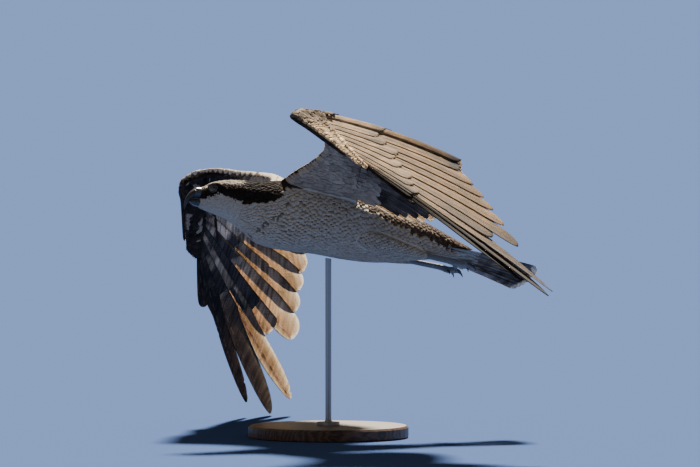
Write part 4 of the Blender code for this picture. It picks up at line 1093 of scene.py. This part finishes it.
for side_name, mirror in (("left", np.eye(4)), ("right", MIRROR)):
    vanes = []
    for q in range(HALF_TAIL):
        t = FLIGHT_STATIONS
        *lines, share, top = vane(
            tail_sheet, q, t, web_edge(9 * MM, t, 220 + q),
            web_edge(15 * MM, t, 200 + q) if q else np.full(len(t), 0.9 * MM),
            0.0 if q or side_name == "left" else 0.55 * MM, most=(0.8, 1.2), step=TAIL_STEP)
        t = t[:, None, None]
        white_tip = smooth(0.945, 0.975, t) * 1.3
        left = 1 - white_tip.clip(0, 1)
        ground, bar = (
            np.where(top[..., None], BROWN * (1 - 0.2 * t) * over,
                     TAIL_UNDER * (1 - 0.3 * t) * under) * left + white_tip * CREAM
            for over, under in ((1.25, 1), (0.75, 0.65)))
        vanes.append((*lines, blend(ground, DARK * 1.3, smooth(0.84, 0.88, t) * left), bar))
        t = COVERT_STATIONS
        # The under coverts' white is dimmed to 0.65 as painted shade.
        for lift, reach, tone in (
                (COVERT_LIFT, 0.34, MANTLE * 1.2), (-COVERT_LIFT, 0.46, WHITE * 0.65)):
            *lines, share, top = vane(
                tail_sheet, q, t * reach * (1 + 0.06 * rng.normal()), 10 * MM * rounded(t),
                (10 if q else 0.9) * MM * rounded(t), lift, most=(1.6, 1.6),
                step=0.5 * TAIL_STEP, thick=0.4 * MM, shaft=0.4 * MM)
            # Painted shade: each covert darker towards its root, under the feather before.
            colour = tone * (1 - 0.15 * smooth(0.3, 0, t))[:, None, None]
            colour = colour * np.ones((*share.shape, 3))
            vanes.append((*lines, colour, colour * 0.93))
    web_mesh(f"tail_feathers_{side_name}", vanes, dark_web, roll @ mirror, side_name == "right")


# Eyes. Each is a glassy ball with a black pupil and a golden iris, deep under the brow, in a
# thin dark rim of bare lid.
EYE_RADIUS = 8.6 * MM
GAZE = np.array([0.90, -0.40, 0.02])
golden_eye = Finish("golden_eye", 0.12, Coat_Weight=1.0, Coat_Roughness=0.03)
iris = golden_eye.add("UVMap", uv_map="iris")
depth = golden_eye.add("SeparateXYZ", {0: iris}, "Y")
fibre = golden_eye.noise(iris, 1.0, 3.0, stretch=(60.0, 3.0, 1.0))
golden_eye.feed(golden_eye.mix(
    1.0, golden_eye.ramp(fibre, (0.3, (0.22, 0.12, 0.010)), (0.7, (0.42, 0.25, 0.02))),
    golden_eye.ramp(
        depth, (0.0, (0.002, 0.002, 0.002)), (0.156, (0.002, 0.002, 0.002)),
        (0.166, (0.5, 0.5, 0.5)), (0.2, (1, 1, 1)), (0.27, (1, 1, 1)),
        (0.315, (0.15, 0.12, 0.1)), (0.34, (0.01, 0.008, 0.006))), "MULTIPLY"))
lid = Finish("bare_lid", 0.55, Base_Color=(0.02, 0.018, 0.017, 1))
lid.bump(lid.noise(lid.place(), 1500.0), 0.4, 0.0003)
for side_name, mirror in SIDES:
    gaze = unit(GAZE * mirror)
    level = unit(np.cross(gaze, np.array([0, 0, 1.0])))
    upright = np.cross(level, gaze)
    centre = EYE_AT * mirror

    def towards(polar, about):
        """Unit directions at an angle polar from the gaze, turned by about around it."""
        polar, about = (value[..., None] for value in (polar, about))
        return np.cos(polar) * gaze + np.sin(polar) * (
            np.cos(about) * level + np.sin(about) * upright)

    polar = np.linspace(0.012, math.pi - 0.02, 72)[:, None]
    about = circle(64)[None, :]
    bulge = EYE_RADIUS + 0.35 * MM * np.exp(-((polar / 0.62) ** 4))
    ball = joined([centre + bulge[..., None] * towards(polar, about)])
    eye = new_piece(f"eyeball_{side_name}", *ball, golden_eye.material)
    uv = np.stack(np.broadcast_arrays(about / (2 * math.pi), polar / math.pi), -1).reshape(-1, 2)
    lay_out(eye.data, "iris", np.concatenate([uv, [[0.5, 0.0], [0.5, 1.0]]]))
    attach(eye, "root")
    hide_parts(f"eye_{side_name}")
    turn = circle(72)
    opening = 0.76 + 0.05 * np.cos(turn) - 0.10 * np.clip(np.sin(turn), 0, 1)
    away = towards(opening, turn)
    side_way = np.cross(unit(np.roll(away, -1, axis=0) - np.roll(away, 1, axis=0)), away)
    small = circle(12)[None, :, None]
    ring = centre + away[:, None] * (EYE_RADIUS + 0.25 * MM) + (
        0.75 * MM * np.cos(small) * away[:, None] + 1.15 * MM * np.sin(small) * side_way[:, None])
    rim_piece = new_piece(
        f"eyelid_{side_name}", carried(ring.reshape(-1, 3)), grid_quads(72, 12, True).tolist(),
        lid.material)
    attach(rim_piece, "root")


# Bill. Black horn in two halves with a dark blue-grey cere at the root and a nostril in each
# side of it; the upper half ends in a long hook that hangs over the short lower one.
UPPER_BILL = mm(
    [-166.4, 3.5, -166.4, -12.8, 9.0], [-174, 1.5, -172.5, -13.6, 7.4],
    [-181, -5, -178, -16, 5.8], [-186, -14, -182, -20.5, 4.0], [-188, -24, -185, -27, 2.2],
    [-187, -33, -186.2, -33.2, 0.4])
LOWER_BILL = mm(
    [-166.4, -13.6, -166.4, -25.5, 8.2], [-171.5, -14.4, -171.5, -25, 6.6],
    [-176, -16.2, -176, -23.5, 4.6], [-179.5, -18.8, -179.5, -21.5, 2.2])
BILL_ROOT = -166.2 * MM
NOSTRIL_DEPTH = 2.2 * MM
NOSTRIL_AT = mm(6.6, -172.5, -2.5)
horn = Finish("bill_horn", 0.3, Coat_Weight=0.3, Coat_Roughness=0.2)
place = horn.place()
blotch = horn.noise(place, 120.0, 4.0)
horn.feed(horn.mix(
    horn.add("Attribute", output="Fac", attribute_name="cere"),
    horn.ramp(blotch, (0.35, (0.012, 0.012, 0.014)), (0.7, (0.035, 0.035, 0.04))),
    horn.ramp(blotch, (0.3, (0.035, 0.042, 0.052)), (0.7, (0.07, 0.083, 0.10)))))
horn.bump(horn.noise(place, 900.0, 3.0), 0.25, 0.0002)


def bill_form(profile, rows, sides):
    """An oval at each station between the ridge and the cutting edge, as (rings in the body's
    frame, how far along)."""
    u = np.linspace(0, len(profile) - 1, rows)
    row = spline(np.arange(len(profile)), profile, u)
    turn = circle(sides)[None, :, None]
    high, low = (np.stack([0 * u, row[:, k], row[:, k + 1]], axis=1) for k in (0, 2))
    middle, reach = 0.5 * (high + low), 0.5 * (high - low)
    wide = np.maximum(row[:, 4], 0.2 * MM)[:, None, None] * np.array([1.0, 0, 0])
    return middle[:, None] + reach[:, None] * np.sin(turn) + wide * np.cos(turn), u / u[-1]


for node, profile, rows, sides, cere, cere_ends in (
        ("bill_upper", UPPER_BILL, 80, 48, 1.0, (0.27, 0.22)),
        ("bill_lower", LOWER_BILL, 40, 40, 0.6, (0.35, 0.20))):
    ring, far = bill_form(profile, rows, sides)
    if node == "bill_upper":
        for _, mirror in SIDES:
            x, y, z = np.moveaxis(ring - NOSTRIL_AT * mirror, -1, 0)
            slit = (y / (2.6 * MM)) ** 2 + ((z + 0.35 * y) / (1.2 * MM)) ** 2 + (x / (6 * MM)) ** 2
            ring[..., 0] -= mirror[0] * NOSTRIL_DEPTH * np.exp(-slit**2)
        swell = 0.55 * MM * smooth(0.26, 0.20, far)[:, None, None]
        ring = ring + swell * unit(ring - ring.mean(axis=1, keepdims=True))
        ring[:, :, 1] = np.minimum(ring[:, :, 1], BILL_ROOT)
    made = new_piece(f"{node}_horn", *joined([ring]), horn.material)
    amount = np.repeat(cere * smooth(*cere_ends, far), sides)
    layer = made.data.attributes.new("cere", "FLOAT", "POINT")
    layer.data.foreach_set("value", np.concatenate([amount, [cere, 0]]).astype(np.float32))
    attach(made, "root")
    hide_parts(node)


# Feet. Bare grey shanks trail under the tail, with four thick toes each, coated in small horny
# scales, and long round black claws. Each toe has two knuckles and then its claw's tip.
ANKLE = mm(25, 236, -33)
TOES = mm(
    [[21, 242, -36], [17, 246, -38], [12, 248, -44]],
    [[21, 250, -34], [17, 260, -34], [14, 268, -41]],
    [[26, 253, -34], [27, 266, -34], [27, 275, -41]],
    [[31, 249, -34], [36, 258, -34], [40, 266, -41]],
)
SHANK_RADII = ([0, 0.3, 0.8, 1], [4.0, 4.2, 4.4, 4.6])
TOE_RADII = mm(4.0, 4.0, 3.8, 3.5, 2.5)
CLAW_RADII = mm(2.2, 2.0, 1.6, 1.0, 0.3)
GAP = 0.32 * MM
scaly = Finish("scaled_foot", 0.5, Coat_Weight=0.1)
cells = scaly.add("TexVoronoi", {"Vector": scaly.place(), "Scale": 620.0}, "Distance",
                  feature="DISTANCE_TO_EDGE")
scale_edge = scaly.add("MapRange", {"Value": cells, "From Max": 0.18})
scaly.feed(scaly.ramp(scale_edge, (0.0, (0.06, 0.062, 0.065)), (0.6, (0.20, 0.21, 0.215))))
scaly.bump(scale_edge, 0.7, 0.0006)
claw_horn = Finish("claw_horn", 0.25, Coat_Weight=0.4, Coat_Roughness=0.15)
grain = claw_horn.noise(claw_horn.place(), 1.0, 3.0, stretch=(400.0, 80.0, 400.0))
claw_horn.feed(claw_horn.ramp(grain, (0.3, (0.008, 0.008, 0.009)), (0.75, (0.04, 0.038, 0.036))))
claw_horn.bump(grain, 0.2, 0.0002)


def round_tube(path, radii, sides):
    """Rings of the given radii squarely across a path."""
    tangent = unit(np.gradient(path, axis=0))
    aside = unit(np.cross(tangent, np.array([0.03, 0.02, 1.0])))[:, None]
    turn = circle(sides)[None, :, None]
    return path[:, None] + radii[:, None, None] * (
        np.cos(turn) * aside + np.sin(turn) * np.cross(aside, tangent[:, None]))


def tapered(radii, where):
    """A smooth run of radii given at equal steps."""
    return spline(np.linspace(0, 1, len(radii)), radii[:, None], where)[:, 0]


for side_name, mirror in SIDES:
    heel = np.array([THIGH[-1, 1], THIGH[-1, 0] - 8 * MM, THIGH[-1, 2]])
    line = np.linspace(0, 1, 30)
    shank = heel + (ANKLE - heel) * line[:, None]
    tubes = [round_tube(shank, np.interp(line, *SHANK_RADII) * MM, 24) * mirror]
    for number, (*knuckles, end) in enumerate(TOES, start=1):
        knots = np.array([ANKLE, *knuckles])
        toe, five = (spline(np.linspace(0, 1, 3), knots, where)
                     for where in (line, np.linspace(0, 1, 5)))
        pads = 1 + 0.10 * np.sin(line * 9.5 + 1.0)
        tubes.append(round_tube(toe, tapered(TOE_RADII, line) * pads, 24) * mirror)
        heading = unit(five[-1] - five[-2])
        start_at = five[-1] + heading * GAP
        bend = start_at + heading * 0.55 * np.linalg.norm(end - start_at)
        u = np.linspace(0, 1, 32)[:, None]
        claw = (1 - u) ** 2 * (start_at - heading * 0.6 * MM) + 2 * u * (1 - u) * bend + u**2 * end
        made = new_piece(
            f"talon_{side_name}_{number}",
            *joined([round_tube(claw, tapered(CLAW_RADII, u[:, 0]), 20) * mirror]),
            claw_horn.material)
        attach(made, "root")
        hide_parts(f"claw_{side_name}_{number}")
    foot = new_piece(f"scaled_foot_{side_name}", *joined(tubes), scaly.material)
    fused(foot, 0.7 * MM, 5)
    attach(foot, "root")
    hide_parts(f"foot_{side_name}")
